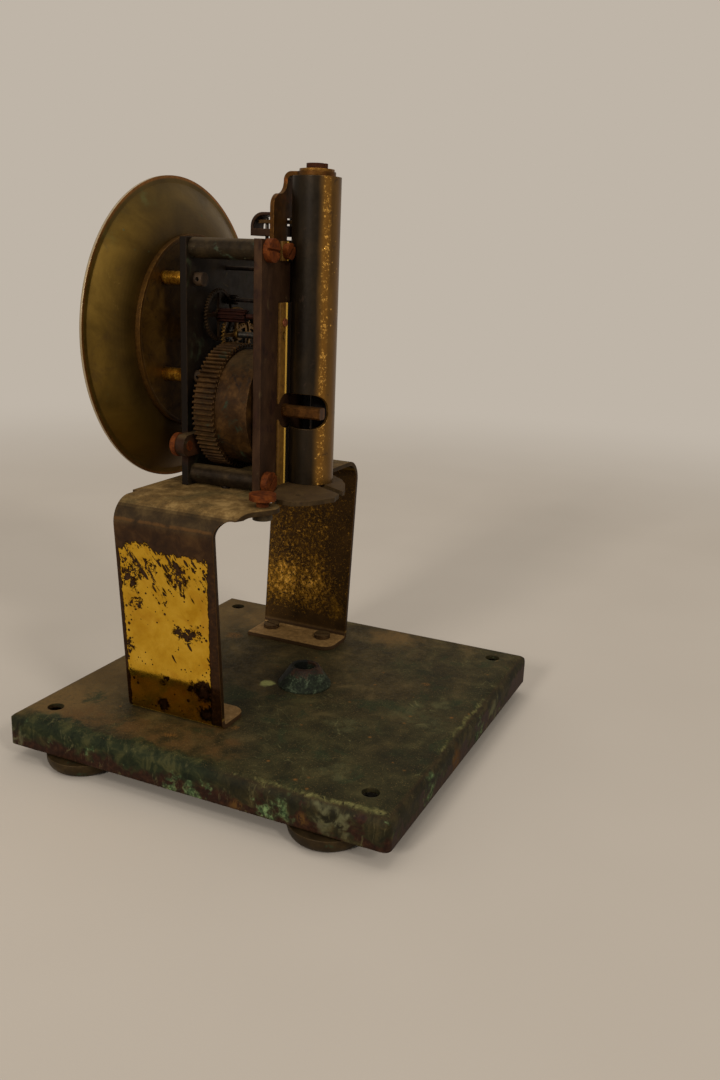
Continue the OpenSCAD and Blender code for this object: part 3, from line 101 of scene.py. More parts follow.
class Graph:
    """A material's node tree. Each method adds nodes and returns the socket that holds the result."""

    def __init__(self, name):
        self.material = bpy.data.materials.new(name)
        self.material.use_nodes = True
        self.tree = self.material.node_tree
        self.tree.nodes.clear()
        place = self.add("ShaderNodeTexCoord").outputs
        self.p = self.vec("SCALE", place["Object"], scale=1 / MM)
        self.x, self.y, self.z = self.add("ShaderNodeSeparateXYZ", {0: self.p}).outputs
        self.nx, self.ny, self.nz = self.add("ShaderNodeSeparateXYZ", {0: place["Normal"]}).outputs

    def add(self, kind, inputs=(), **props):
        """A new node; inputs says which socket or value goes to which of its inputs."""
        node = self.tree.nodes.new(kind)
        for key, value in props.items():
            setattr(node, key, value)
        for key, value in dict(inputs).items():
            if isinstance(value, bpy.types.NodeSocket):
                self.tree.links.new(value, node.inputs[key])
            else:
                node.inputs[key].default_value = value
        return node

    # numbers and masks

    def math(self, op, *values):
        return self.add("ShaderNodeMath", enumerate(values), operation=op).outputs[0]

    def chain(self, op, values):
        out = values[0]
        for value in values[1:]:
            out = self.math(op, out, value)
        return out

    def mul(self, *values):
        return self.chain("MULTIPLY", values)

    def plus(self, *values):
        return self.chain("ADD", values)

    def minus(self, a, b):
        return self.math("SUBTRACT", a, b)

    def either(self, *masks):
        return self.chain("MAXIMUM", masks)

    def without(self, mask):
        return self.minus(1.0, mask)

    def absolute(self, value):
        return self.math("ABSOLUTE", value)

    def across(self, a, b):
        """How far a spot lies from the axis at which a and b are 0."""
        return self.math("SQRT", self.plus(self.mul(a, a), self.mul(b, b)))

    def sway(self, noise, amount):
        """A noise as a push, of up to half this amount to either side."""
        return self.mul(self.minus(noise, 0.5), amount)

    def span(self, value, a, b, low=0.0, high=1.0):
        """value runs smoothly from low at a to high at b."""
        if a > b:
            a, b, low, high = b, a, high, low
        inputs = {"Value": value, "From Min": a, "From Max": b, "To Min": low, "To Max": high}
        return self.add("ShaderNodeMapRange", inputs, interpolation_type="SMOOTHSTEP").outputs["Result"]

    def between(self, value, low, high, soft):
        """1 where value lies between low and high, with edges this soft."""
        return self.mul(self.span(value, low - soft, low + soft), self.span(value, high + soft, high - soft))

    def mixed(self, mask, a, b):
        """The number a where mask is 0 and b where it is 1."""
        return self.add("ShaderNodeMix", {0: mask, 2: a, 3: b}, data_type="FLOAT").outputs[0]

    # places

    def vec(self, op, a, b=None, scale=None):
        inputs = {key: value for key, value in ((0, a), (1, b), ("Scale", scale)) if value is not None}
        node = self.add("ShaderNodeVectorMath", inputs, operation=op)
        return node.outputs["Value" if op in ("DOT_PRODUCT", "LENGTH") else 0]

    def spot_at(self, stretch, size, at, where=None):
        """Coordinates counted in features of this size."""
        inputs = {0: self.p if where is None else where, 1: [s / size for s in stretch], 2: at}
        return self.add("ShaderNodeVectorMath", inputs, operation="MULTIPLY_ADD").outputs[0]

    def warped(self, size, amount, at=(0, 0, 0)):
        """The place, pushed about by up to this amount, so that what is drawn there has a ragged outline."""
        push = self.vec("SUBTRACT", self.noise(size, 3, 0.6, 0, at, out="Color"), (0.5, 0.5, 0.5))
        return self.vec("ADD", self.p, self.vec("SCALE", push, scale=amount * 2))

    def slanted(self, across):
        """The place with y sheared by z, so that a mark drawn there leans."""
        leaning = self.plus(self.y, self.mul(self.z, across))
        return self.add("ShaderNodeCombineXYZ", {0: self.x, 1: leaning, 2: self.z}).outputs[0]

    # marks

    def noise(self, size, detail=3, rough=0.55, warp=0, at=(0, 0, 0), stretch=(1, 1, 1), where=None, out="Fac"):
        """A noise whose features have this size; at picks another stretch of it."""
        inputs = {"Vector": self.spot_at(stretch, size, at, where), "Scale": 1,
                  "Detail": detail, "Roughness": rough, "Distortion": warp}
        return self.add("ShaderNodeTexNoise", inputs).outputs[out]

    def specks(self, size, radius, share, at=(0, 0, 0), soft=0.5, stretch=(1, 1, 1), where=None):
        """Roundish specks: cells of this size, of which this share holds one of about that radius."""
        inputs = {"Vector": self.spot_at(stretch, size, at, where), "Scale": 1}
        cells = self.add("ShaderNodeTexVoronoi", inputs, feature="F1").outputs
        chance = self.add("ShaderNodeSeparateColor", {0: cells["Color"]}).outputs
        kept = self.math("LESS_THAN", chance[0], share)
        reach = self.math("MULTIPLY_ADD", chance[1], radius * 0.8 / size, radius * 0.5 / size)
        near = self.math("DIVIDE", cells["Distance"], reach)
        return self.mul(kept, self.span(near, 1.0, 1.0 - soft))

    def ball(self, centre, radius, soft, stretch=(1, 1, 1), where=None):
        """A patch round centre, with an edge this soft."""
        away = self.vec("SUBTRACT", self.p if where is None else where, centre)
        return self.span(self.vec("LENGTH", self.vec("MULTIPLY", away, stretch)), radius + soft, radius - soft)

    def places(self, where, *spots):
        """Soft patches at these (x, y, z, radius)."""
        return self.either(*[self.ball(spot[:3], spot[3] * 0.7, spot[3] * 0.45, where=where) for spot in spots])

    def stroke(self, where, width, soft, *points):
        """A line of this half width through these points."""
        near = []
        for a, b in zip(points, points[1:]):
            way = Vector(b) - Vector(a)
            start = self.vec("SUBTRACT", where, a)
            along = self.vec("DOT_PRODUCT", start, way / way.length_squared)
            along = self.math("MINIMUM", self.math("MAXIMUM", along, 0.0), 1.0)
            near.append(self.vec("LENGTH", self.vec("SUBTRACT", start, self.vec("SCALE", way, scale=along))))
        return self.span(self.chain("MINIMUM", near), width + soft, width - soft)

    def edges(self, radius):
        """Shades the edges as if rounded by this radius; returns a mask of them."""
        self.normal = self.add("ShaderNodeBevel", {"Radius": radius * MM}, samples=6).outputs[0]
        flat = self.add("ShaderNodeNewGeometry").outputs["Normal"]
        return self.span(self.vec("DOT_PRODUCT", self.normal, flat), 0.995, 0.87)

    # colours and the surface

    def ramp(self, value, *stops):
        """A colour that follows value through stops of (value, colour)."""
        node = self.add("ShaderNodeValToRGB", {0: value})
        elements = node.color_ramp.elements
        while len(elements) < len(stops):
            elements.new(0.5)
        for element, (at, colour) in zip(elements, stops):
            element.position = at
            element.color = rgb(*colour)
        return node.outputs[0]

    def blend(self, mask, a, b):
        """The colour a where mask is 0 and b where it is 1; each is a socket or on the 0-255 scale."""
        a, b = [rgb(*colour) if isinstance(colour, tuple) else colour for colour in (a, b)]
        return self.add("ShaderNodeMix", {0: mask, 6: a, 7: b}, data_type="RGBA").outputs[2]

    def finish(self, colour, metallic, roughness, height, layers, specular):
        """The surface: a ground under layers of (mask, colour, metallic, roughness), and bumps by height."""
        for mask, over_colour, over_metallic, over_roughness in layers:
            colour = self.blend(mask, colour, over_colour)
            metallic = self.mixed(mask, metallic, over_metallic)
            roughness = self.mixed(mask, roughness, over_roughness)
        bump = self.add("ShaderNodeBump", {"Strength": 1, "Distance": MM, "Height": height, "Normal": self.normal})
        shader = self.add("ShaderNodeBsdfPrincipled", {
            "Base Color": colour, "Metallic": metallic, "Roughness": roughness,
            "Specular IOR Level": specular, "Normal": bump.outputs[0]})
        return self.close(shader)

    def close(self, shader):
        self.add("ShaderNodeOutputMaterial", {"Surface": shader.outputs[0]})
        return self.material


def dress(material, *names):
    """Gives CAD nodes a material in all their slots."""
    for name in names:
        mesh = nodes[name].data
        if not mesh.materials:
            mesh.materials.append(material)
        for i in range(len(mesh.materials)):
            mesh.materials[i] = material


def direct_rays(tree):
    """1 for the rays that see the background itself, straight, off metal or through glass."""
    rays = tree.nodes.new("ShaderNodeLightPath")
    seen = rays.outputs["Is Camera Ray"]
    for kind in ("Is Glossy Ray", "Is Transmission Ray"):
        largest = tree.nodes.new("ShaderNodeMath")
        largest.operation = "MAXIMUM"
        tree.links.new(seen, largest.inputs[0])
        tree.links.new(rays.outputs[kind], largest.inputs[1])
        seen = largest.outputs[0]
    return seen


# ---- camera, floor and light

# The camera's place, in metres, and its own axes, solved from the photograph
CAMERA_RIGHT = (-0.42033277, 0.90657223, 0.03804146)
CAMERA_UP = (-0.23186635, -0.14784905, 0.96144613)
CAMERA_BACK = (0.87724476, 0.39530677, 0.27234939)
CAMERA_PLACE = (0.30028359, 0.16100917, 0.16819765)

camera_data = bpy.data.cameras.new("camera")
camera_data.lens = 33.1803
camera_data.sensor_fit = "VERTICAL"
camera_data.sensor_height = 36.0
camera_data.clip_start = 0.01
camera_data.clip_end = 100.0
camera = bpy.data.objects.new("camera", camera_data)
scene.collection.objects.link(camera)
camera.matrix_world = Matrix([*zip(CAMERA_RIGHT, CAMERA_UP, CAMERA_BACK, CAMERA_PLACE), (0, 0, 0, 1)])
scene.camera = camera

world = bpy.data.worlds.new("studio")
world.use_nodes = True
scene.world = world
tree = world.node_tree
tree.nodes.clear()
skies = []
for colour, strength in ((STUDIO_TINT, STUDIO_STRENGTH), (rgb(*BACKDROP), 1.0)):
    background = tree.nodes.new("ShaderNodeBackground")
    background.inputs["Color"].default_value = colour
    background.inputs["Strength"].default_value = strength
    skies.append(background.outputs[0])
sky = tree.nodes.new("ShaderNodeMixShader")
for socket, source in zip(sky.inputs, (direct_rays(tree), *skies)):
    tree.links.new(source, socket)
tree.links.new(sky.outputs[0], tree.nodes.new("ShaderNodeOutputWorld").inputs["Surface"])


def floor_look():
    """Pale paper: takes the shadows near the object and runs into the backdrop's colour further out."""
    g = Graph("floor_paper")
    tone = g.ramp(g.noise(90, 2, 0.5), (0.3, PAPER_DARK), (0.7, PAPER))
    fibre = g.add("ShaderNodeBump", {"Strength": 0.15, "Distance": 0.1 * MM, "Height": g.noise(0.6, 2)})
    paper = g.add("ShaderNodeBsdfDiffuse", {"Color": tone, "Normal": fibre.outputs[0]})
    glow = g.add("ShaderNodeEmission", {"Color": rgb(*BACKDROP)})
    far = g.mul(g.span(g.vec("LENGTH", g.p), FADE_START, FADE_END), direct_rays(g.tree))
    return g.close(g.add("ShaderNodeMixShader", {0: far, 1: paper.outputs[0], 2: glow.outputs[0]}))


floor_mesh = bpy.data.meshes.new("floor")
floor_mesh.from_pydata([(x * FLOOR_REACH, y * FLOOR_REACH, 0) for x, y in ((-1, -1), (1, -1), (1, 1), (-1, 1))],
                       [], [(0, 1, 2, 3)])
floor = bpy.data.objects.new("floor", floor_mesh)
scene.collection.objects.link(floor)
floor_mesh.materials.append(floor_look())


def softbox(name, place, side, power):
    """A square area light with sides of this many metres, turned to the object."""
    data = bpy.data.lights.new(name, "AREA")
    data.shape = "RECTANGLE"
    data.size = data.size_y = side
    data.energy = power
    data.color = LAMP_TINT
    lamp = bpy.data.objects.new(name, data)
    scene.collection.objects.link(lamp)
    way = Vector(LAMP_AIM) - Vector(place)
    lamp.matrix_world = Matrix.Translation(place) @ way.to_track_quat("-Z", "Y").to_matrix().to_4x4()


softbox("key_left", (1.82, -0.16, 0.88), 0.32, 16.0)
softbox("fill_right", (0.86, 1.44, 1.18), 0.3, 9.0)
softbox("top", (-0.1, 0.0, 2.1), 1.3, 8.0)


# ---- the large pieces' materials


def base_plate_look():
    """Dusty olive brown brass: verdigris, a red-brown skirt, pale crust and drips along its edges."""
    g = Graph("base_brass_look")
    broad = g.noise(34, 3, 0.6, 0.5, (3.1, 1.7, 7.2))
    mid = g.noise(9, 5, 0.62, 0.3, (1.3, 8.1, 2.2))
    fine = g.noise(1.7, 4, 0.65, 0, (5, 2, 9))
    grain = g.noise(0.42, 2, 0.6)
    patchy = g.noise(5.5, 5, 0.68, 0.6, (6, 6, 1))
    streaky = g.noise(3.2, 4, 0.7, 1.6, (7.7, 1.2, 0.6), (1, 1, 0.5))
    torn = g.warped(6, 9, (2, 5, 1))
    wavy = g.warped(5, 2.4, (1, 1, 6))
    edge = g.edges(0.7)
    top = g.span(g.nz, 0.55, 0.9)
    skirt = g.without(top)
    under = g.span(g.nz, -0.3, -0.6)
    s = BASE_SIDE   # the skirt's faces lie at x or y = s or -s

    def on_top(where, *spots):
        """Patches of (x, y, radius) on the top face."""
        return g.places(where, *[(x, y, BASE_TOP, radius) for x, y, radius in spots])

    def line_on_top(width, soft, *points):
        """A wavy line through points (x, y) of the top face."""
        return g.stroke(wavy, width, soft, *[(x, y, BASE_TOP) for x, y in points])

    # the top face is browner at the back and at the far left, and greener towards the near right
    colour = g.ramp(mid, (0.3, (37, 30, 14)), (0.44, (50, 41, 20)), (0.56, (61, 50, 26)), (0.7, (80, 65, 36)))
    lean = g.plus(g.mul(g.x, 0.0035), g.mul(g.y, 0.0052), g.sway(broad, 1.8))
    green = g.mul(top, g.span(lean, -0.1, 0.42))
    green_colour = g.ramp(mid, (0.32, (31, 29, 13)), (0.5, (45, 41, 20)), (0.68, (62, 56, 30)))
    tan = g.mul(top,
                g.either(on_top(torn, (54, -61, 24), (-60, 16, 12), (-54, -40, 18)), g.span(g.y, -38, -60, 0, 0.7)),
                g.span(fine, 0.25, 0.6, 0.5, 1))
    warm = g.mul(top, on_top(torn, (61, -47, 12), (60, -30, 12), (61, -12, 13), (57, 6, 9), (49, -3, 8)),
                 g.span(mid, 0.36, 0.56))
    dim = g.mul(top, on_top(torn, (48, -34, 7), (-35, 45, 10), (36, 60, 10), (0, 0, 13), (30, 67, 6)))
    teal_at = g.noise(15, 4, 0.62, 0.6, (9.4, 3.3, 1))
    blotch = g.mul(top, on_top(torn, (23, 16, 4), (44, 34, 6), (6, 35, 5), (46, -52, 6), (-12, 62, 6)),
                   g.span(patchy, 0.4, 0.56))
    teal = g.either(g.mul(g.span(teal_at, 0.54, 0.66), g.span(lean, -0.35, 0.25, 0.15, 0.8)), blotch)
    teal_colour = g.ramp(fine, (0.3, (25, 32, 17)), (0.6, (41, 48, 26)))
    haze = g.mul(top, on_top(torn, (24, 33, 7), (2, 48, 8), (9, 57, 7), (-8, 55, 5), (52, 45, 6)),
                 g.span(patchy, 0.36, 0.6))
    wisps = g.mul(top, g.span(streaky, 0.36, 0.46), g.either(
        line_on_top(0.22, 0.3, (19, 29), (25, 31), (30, 35), (33, 40)),
        line_on_top(0.2, 0.3, (-3, 46), (0, 51), (-2, 56)),
        line_on_top(0.2, 0.3, (12, 51), (10, 57), (13, 62)),
        line_on_top(0.3, 0.4, (-6, 47), (-3, 50.5))))
    orange = g.mul(top, g.either(
        g.specks(3, 0.8, 0.07, (2, 7, 0), 0.8),
        g.mul(on_top(wavy, (57, -13, 2.4), (-28, -42, 4), (-22, 45, 2.4), (43, 2, 2)), g.span(grain, 0.42, 0.56))))
    scratch_at = g.noise(20, 2, 0.4, 2.4, (8, 4, 3))
    scratch = g.mul(top, g.between(scratch_at, 0.497, 0.503, 0.003), g.span(broad, 0.44, 0.62), 0.4)
    pale = g.mul(g.ball((6.5, -6.4, BASE_TOP), 3, 0.9, (1, 1.25, 1), wavy),
                 g.span(g.noise(2.4, 4, 0.7), 0.3, 0.42))

    # a dark green band rolls over the +X edge, and a pale crust lies along the edges
    roll = g.plus(g.mul(g.minus(g.x, BASE_SIDE), 0.7), g.mul(g.minus(BASE_TOP, g.z), 0.9))
    band_at = g.plus(roll, g.sway(mid, 13))
    band = g.mul(g.between(band_at, -3.6, 6, 1.4), g.between(g.y, -66, 12, 7), g.span(g.x, 60, 63))
    band_colour = g.ramp(patchy, (0.36, (19, 24, 11)), (0.5, (34, 38, 19)), (0.62, (58, 56, 29)))
    crust = g.mul(g.span(streaky, 0.4, 0.48), g.either(
        line_on_top(0.7, 0.7, (68.6, 18), (68.2, 44), (67.2, 69)),
        line_on_top(0.6, 0.6, (-24, 68.4), (4, 67.8), (24, 68.2)),
        g.mul(line_on_top(0.5, 0.6, (-68.5, 40), (-68.5, -30)), 0.6)))
    crust_colour = g.ramp(fine, (0.32, (66, 62, 32)), (0.68, (120, 114, 68)))

    # the skirt: copper below, olive above, with patches that are mostly on its +X and +Y faces
    copper_colour = g.ramp(fine, (0.3, (26, 12, 6)), (0.5, (38, 20, 10)), (0.7, (54, 31, 17)))
    low = g.plus(g.z, g.sway(g.noise(11, 4, 0.6, 0.5, (4.4, 0.2, 5.7)), 34))
    olive = g.mul(skirt, g.span(low, 9.5, 12))
    olive_colour = g.ramp(patchy, (0.36, (24, 22, 10)), (0.5, (37, 32, 15)), (0.62, (56, 47, 24)))
    mint = g.mul(skirt, g.span(patchy, 0.38, 0.52), g.either(
        g.places(torn, (s, -4, 8, 4), (s, 4, 8, 4), (s, 35, 10, 5), (s, 29, 7, 3), (38, s, 9, 6),
                 (-11, s, 8, 5), (-s, 30, 9, 8), (20, -s, 9, 8), (-60, -s, 9, 6)),
        g.mul(g.span(g.noise(9, 4, 0.66, 0.7, (0.4, 6.6, 2.3)), 0.62, 0.7), 0.6)))
    mint_colour = g.ramp(fine, (0.36, (34, 44, 25)), (0.5, (62, 78, 47)), (0.62, (112, 132, 84)))
    ochre = g.mul(skirt, g.places(wavy, (s, 42, 9, 2.6), (14, s, 9, 6), (s, 20, 7, 3)), g.span(streaky, 0.4, 0.55))
    drips = g.mul(skirt, g.either(
        g.mul(g.span(g.noise(4.2, 5, 0.7, 2.2, (3, 5, 1), (1, 1, 0.28)), 0.6, 0.66), 0.7),
        g.stroke(wavy, 0.25, 0.25, (s, -44, 15), (s, -43, 11), (s, -46, 7)),
        g.stroke(wavy, 0.2, 0.25, (s, 24, 15), (s, 25.5, 10), (s, 24, 6)),
        g.stroke(wavy, 0.2, 0.25, (s, 31, 15), (s, 29.5, 12), (s, 31, 8))))
    chalk = g.mul(g.places(torn, (s, -67, 9, 5), (s, -s, 6, 5), (s, 49, 13, 5), (s, 56, 12, 3), (-28, s, 10, 6),
                           (-s, -20, 10, 7), (-30, -s, 9, 7)), skirt, g.span(patchy, 0.42, 0.56))

    height = g.plus(g.mul(fine, 0.05), g.mul(grain, 0.035), g.mul(crust, 0.12), g.mul(mint, 0.04), g.mul(drips, 0.05))
    return g.finish(colour, 0, g.span(fine, 0.3, 0.7, 0.58, 0.8), height, [
        (green, green_colour, 0, 0.7),
        (g.mul(tan, 0.85), (100, 76, 41), 0, 0.8),
        (g.mul(warm, 0.75), (80, 56, 27), 0, 0.75),
        (g.mul(teal, 0.8), teal_colour, 0, 0.75),
        (g.mul(dim, 0.6), (27, 23, 11), 0, 0.7),
        (orange, (98, 66, 28), 0, 0.8),
        (g.mul(skirt, g.span(g.nz, -0.2, 0)), copper_colour, 0, 0.55),
        (olive, olive_colour, 0, 0.65),
        (band, band_colour, 0, 0.7),
        (g.mul(mint, 0.9), mint_colour, 0, 0.8),
        (ochre, (80, 54, 22), 0, 0.8),
        (g.mul(chalk, 0.55), (100, 98, 68), 0, 0.9),
        (g.mul(haze, 0.38), (88, 86, 54), 0, 0.85),
        (g.mul(drips, 0.4), (100, 92, 58), 0, 0.85),
        (g.either(g.mul(wisps, 0.6), scratch), (106, 100, 62), 0, 0.8),
        (g.mul(edge, skirt, 0.25), (70, 58, 30), 0, 0.6),
        (g.mul(crust, 0.8), crust_colour, 0, 0.9),
        (pale, (138, 136, 80), 0, 0.85),
        (g.mul(g.span(grain, 0.6, 0.7), top, 0.55), (108, 86, 50), 0, 0.85),
        (g.mul(g.span(grain, 0.4, 0.3), top, 0.4), (24, 19, 9), 0, 0.8),
        (under, (34, 25, 14), 0, 0.75),
    ], 0.1)


def bridge_look():
    """Lacquered strap: gold and spotted on the outside of the legs, flaked inside, dusty on top."""
    g = Graph("bridge_brass_look")
    broad = g.noise(26, 3, 0.6, 0.4, (2, 9, 4))
    mid = g.noise(7, 5, 0.65, 0.3, (6, 1, 3))
    fine = g.noise(1.5, 4, 0.7, 0, (4, 4, 4))
    grain = g.noise(0.4, 2, 0.6)
    torn = g.warped(2.2, 3.4, (3, 3, 1))
    edge = g.edges(0.5)
    outward = g.mul(g.math("SIGN", g.x), g.nx)
    outer = g.span(outward, 0.6, 0.85)
    inner = g.span(outward, -0.6, -0.85)
    flat = g.span(g.nz, 0.66, 0.93)
    under = g.span(g.nz, -0.6, -0.85)

    def on_leg(x, *spots):
        """Patches of (y, z, radius) on the leg's face at this x."""
        return g.places(torn, *[(x, y, z, radius) for y, z, radius in spots])

    # lacquered gold of the legs' outer faces, lost along a ragged border
    gold = g.ramp(mid, (0.3, (200, 150, 34)), (0.5, (219, 172, 50)), (0.7, (232, 186, 64)))
    haze = g.mul(g.span(g.noise(12, 3, 0.6, 0.6, (0, 3, 5)), 0.5, 0.7), 0.4)
    wave = g.sway(g.noise(6.5, 4, 0.6, 0.5, (1, 1, 1)), 9)
    ragged = g.sway(g.noise(2.4, 5, 0.7, 0.6, (5, 1, 9)), 5)
    rise = g.mul(g.span(g.absolute(g.plus(g.y, 28)), 9, 1), 2.2)
    top_at = g.minus(g.plus(g.z, g.mul(wave, 0.5), ragged), rise)
    lost_top = g.span(top_at, 75.4, 76.8)
    left_rim = g.span(g.plus(g.y, g.mul(wave, 0.2), g.mul(ragged, 0.35)), -35.9, -36.7)
    right_rim = g.span(g.plus(g.y, g.mul(wave, 0.12), g.mul(ragged, 0.3), g.mul(g.z, -0.03)), -5.2, -4.2)
    worn = g.either(lost_top, left_rim, right_rim)

    # its dark marks: leaning strokes and smears high up, dots all over, and single ones
    high = g.span(g.z, 50, 74)
    lean = g.slanted(0.55)
    leaning = g.either(
        g.specks(2.6, 1, g.mixed(high, 0.03, 0.62), (1, 3, 1.1), 0.45, (1, 1, 0.42), lean),
        g.mul(g.specks(1.6, 0.6, g.mixed(high, 0.03, 0.5), (4, 1, 3.1), 0.5, (1, 1, 0.5), lean),
              g.span(broad, 0.42, 0.52)))
    smears = g.mul(g.span(g.noise(2.4, 5, 0.74, 0.5, (7, 2, 5), (1, 1, 0.45), lean), 0.565, 0.62),
                   high, g.span(g.z, 56, 66))
    dots = g.specks(3.2, 0.62, g.mixed(high, 0.24, 0.44), (3.3, 0, 1.1), 0.45)
    tiny = g.specks(1.4, 0.32, 0.2, (5.5, 2.5, 0), 0.6)
    cluster = g.mul(
        on_leg(NEAR_LEG_X, (-11, 49.3, 3.6), (-15, 49.6, 2.6), (-7.5, 50.2, 2.2), (-33, 65.6, 4.4),
               (-29.5, 69.5, 3.4), (-31, 56.5, 2.6), (-35, 41, 3.2), (-36, 31, 2.4), (-20.6, 73, 1.9),
               (-24.4, 71, 2.6), (-14.5, 69, 5), (-7.2, 73.5, 2)),
        g.span(g.noise(1.7, 4, 0.7, 0.6, (9, 9, 0)), 0.44, 0.52))
    lone = on_leg(NEAR_LEG_X, (-16, 42.7, 1.1), (-15.8, 62.7, 1), (-20, 59, 0.9))
    line_down = g.stroke(torn, 0.3, 0.4, *[(NEAR_LEG_X, y, z) for y, z in ((-26, 64), (-23.5, 61.5), (-20.6, 58.8))])
    low_dark = g.mul(on_leg(NEAR_LEG_LOW_X, (-21.5, 31, 2.4), (-6, 29.5, 5), (-10, 30, 3), (-23, 21, 3.4), (-6, 22, 4)),
                     g.span(mid, 0.3, 0.44))
    rim_spots = g.mul(g.specks(1.7, 0.6, 0.5, (0, 2.2, 6.1), 0.5),
                      g.either(g.span(g.y, -31, -36), g.span(g.y, -9, -5)))
    spots = g.either(g.mul(leaning, 0.9), dots, g.mul(tiny, 0.75), smears, cluster, lone, line_down, low_dark,
                     g.mul(rim_spots, 0.8))
    marks = g.mul(g.either(spots, worn), g.span(g.z, 31.5, 33.5, 0.45, 0.85))
    oxide = g.ramp(fine, (0.3, (30, 16, 5)), (0.55, (46, 26, 9)), (0.75, (70, 43, 16)))
    red_band = g.mul(outer, g.span(top_at, 75.6, 77.4))
    red_colour = g.ramp(mid, (0.32, (34, 19, 8)), (0.5, (48, 29, 12)), (0.68, (68, 45, 21)))
    line = g.mul(g.between(g.plus(g.z, g.mul(wave, 0.12)), 85, 85.9, 0.25), outer, g.span(mid, 0.42, 0.58))

    # inside of the legs: dark, with flakes of gold that crowd round two bright places
    dark = g.ramp(mid, (0.3, (42, 28, 10)), (0.6, (64, 43, 16)), (0.8, (82, 57, 24)))
    slope = g.plus(g.y, g.mul(g.minus(g.z, 30), 0.16), g.mul(wave, 0.9))
    blaze = g.either(g.ball((FAR_LEG_X, -29, 38), 7, 9, (0.2, 1, 1.1)),
                     g.mul(g.ball((FAR_LEG_X, -16, 37), 7, 9, (0.2, 1, 1)), 0.75))
    share = g.plus(g.span(slope, 3, -14, 0.2, 0.44), g.mul(blaze, 0.46), g.mul(g.span(broad, 0.35, 0.65), 0.12))
    share = g.mul(share, g.span(g.plus(g.z, wave), 23.5, 28.5), g.span(g.z, 92, 58, 0.55, 1))
    crumbs = g.noise(1, 6, 0.84, 0.5, (1, 7, 7))
    flake = g.span(g.plus(crumbs, g.mul(share, 0.19)), 0.6, 0.635)
    flake_low = g.mul(on_leg(FAR_LEG_X, (-6, 32, 3.4), (-5, 28.5, 4), (-6.5, 25.5, 2.6)), g.span(crumbs, 0.4, 0.47))
    flakes = g.mul(inner, g.either(flake, flake_low))
    flake_tone = g.plus(g.noise(1.6, 4, 0.7, 0, (2, 2, 2)), g.mul(blaze, 0.16), g.mul(flake_low, 0.06))
    flake_colour = g.ramp(flake_tone, (0.36, (84, 58, 18)), (0.52, (118, 84, 26)), (0.66, (186, 136, 48)),
                          (0.78, (250, 194, 88)))

    # dusty platform, its bend and the foot flanges
    dust = g.ramp(g.plus(g.mul(mid, 0.7), g.mul(fine, 0.3)),
                  (0.34, (66, 49, 24)), (0.5, (102, 77, 40)), (0.64, (140, 111, 65)))
    olive = g.mul(flat, g.span(broad, 0.46, 0.6), 0.6)
    bend = g.mul(g.span(g.z, 82, 87), g.without(inner))
    bend_colour = g.ramp(mid, (0.32, (34, 24, 10)), (0.5, (48, 34, 15)), (0.68, (70, 53, 27)))
    flange = g.mul(g.span(g.z, 21.5, 19.8), g.span(outward, 0.3, 0.05))
    flange_colour = g.ramp(fine, (0.3, (100, 73, 38)), (0.6, (136, 103, 58)), (0.8, (166, 132, 82)))
    side_wall = g.mul(g.span(g.absolute(g.ny), 0.7, 0.9), g.without(flange))

    height = g.plus(g.mul(fine, 0.006), g.mul(grain, g.mixed(flat, 0.002, 0.04)), g.mul(spots, -0.008),
                    g.mul(flakes, 0.008))
    ground = g.blend(g.mul(haze, outer), gold, (186, 128, 34))
    return g.finish(ground, g.mixed(outer, 0.4, 1), g.span(fine, 0.3, 0.7, 0.06, 0.11), height, [
        (g.mul(outer, g.span(marks, 0, 0.3)), oxide, 1, 0.12),
        (g.mul(outer, g.span(marks, 0.3, 0.7)), oxide, 0.1, 0.5),
        (red_band, red_colour, 0.1, 0.5),
        (inner, dark, 0.35, 0.5),
        (flakes, flake_colour, 0.9, 0.32),
        (side_wall, g.ramp(fine, (0.3, (32, 19, 7)), (0.7, (58, 37, 14))), 0.35, 0.45),
        (bend, bend_colour, 0.05, 0.65),
        (g.mul(line, 0.55), (92, 60, 26), 0.3, 0.5),
        (flat, dust, 0, 0.8),
        (olive, g.ramp(fine, (0.3, (60, 50, 26)), (0.7, (94, 79, 46))), 0, 0.8),
        (g.mul(flange, g.without(under)), flange_colour, 0, 0.7),
        (g.mul(flange, g.between(g.nz, -0.5, 0.35, 0.15)), (58, 39, 19), 0, 0.7),
        (g.mul(g.span(grain, 0.6, 0.7), flat, 0.6), (126, 104, 68), 0, 0.85),
        (g.mul(edge, g.without(flat), 0.45), (100, 68, 30), 0.6, 0.4),
        (g.mul(under, g.span(g.z, 60, 80)), (44, 32, 18), 0.2, 0.6),
    ], 0.12)


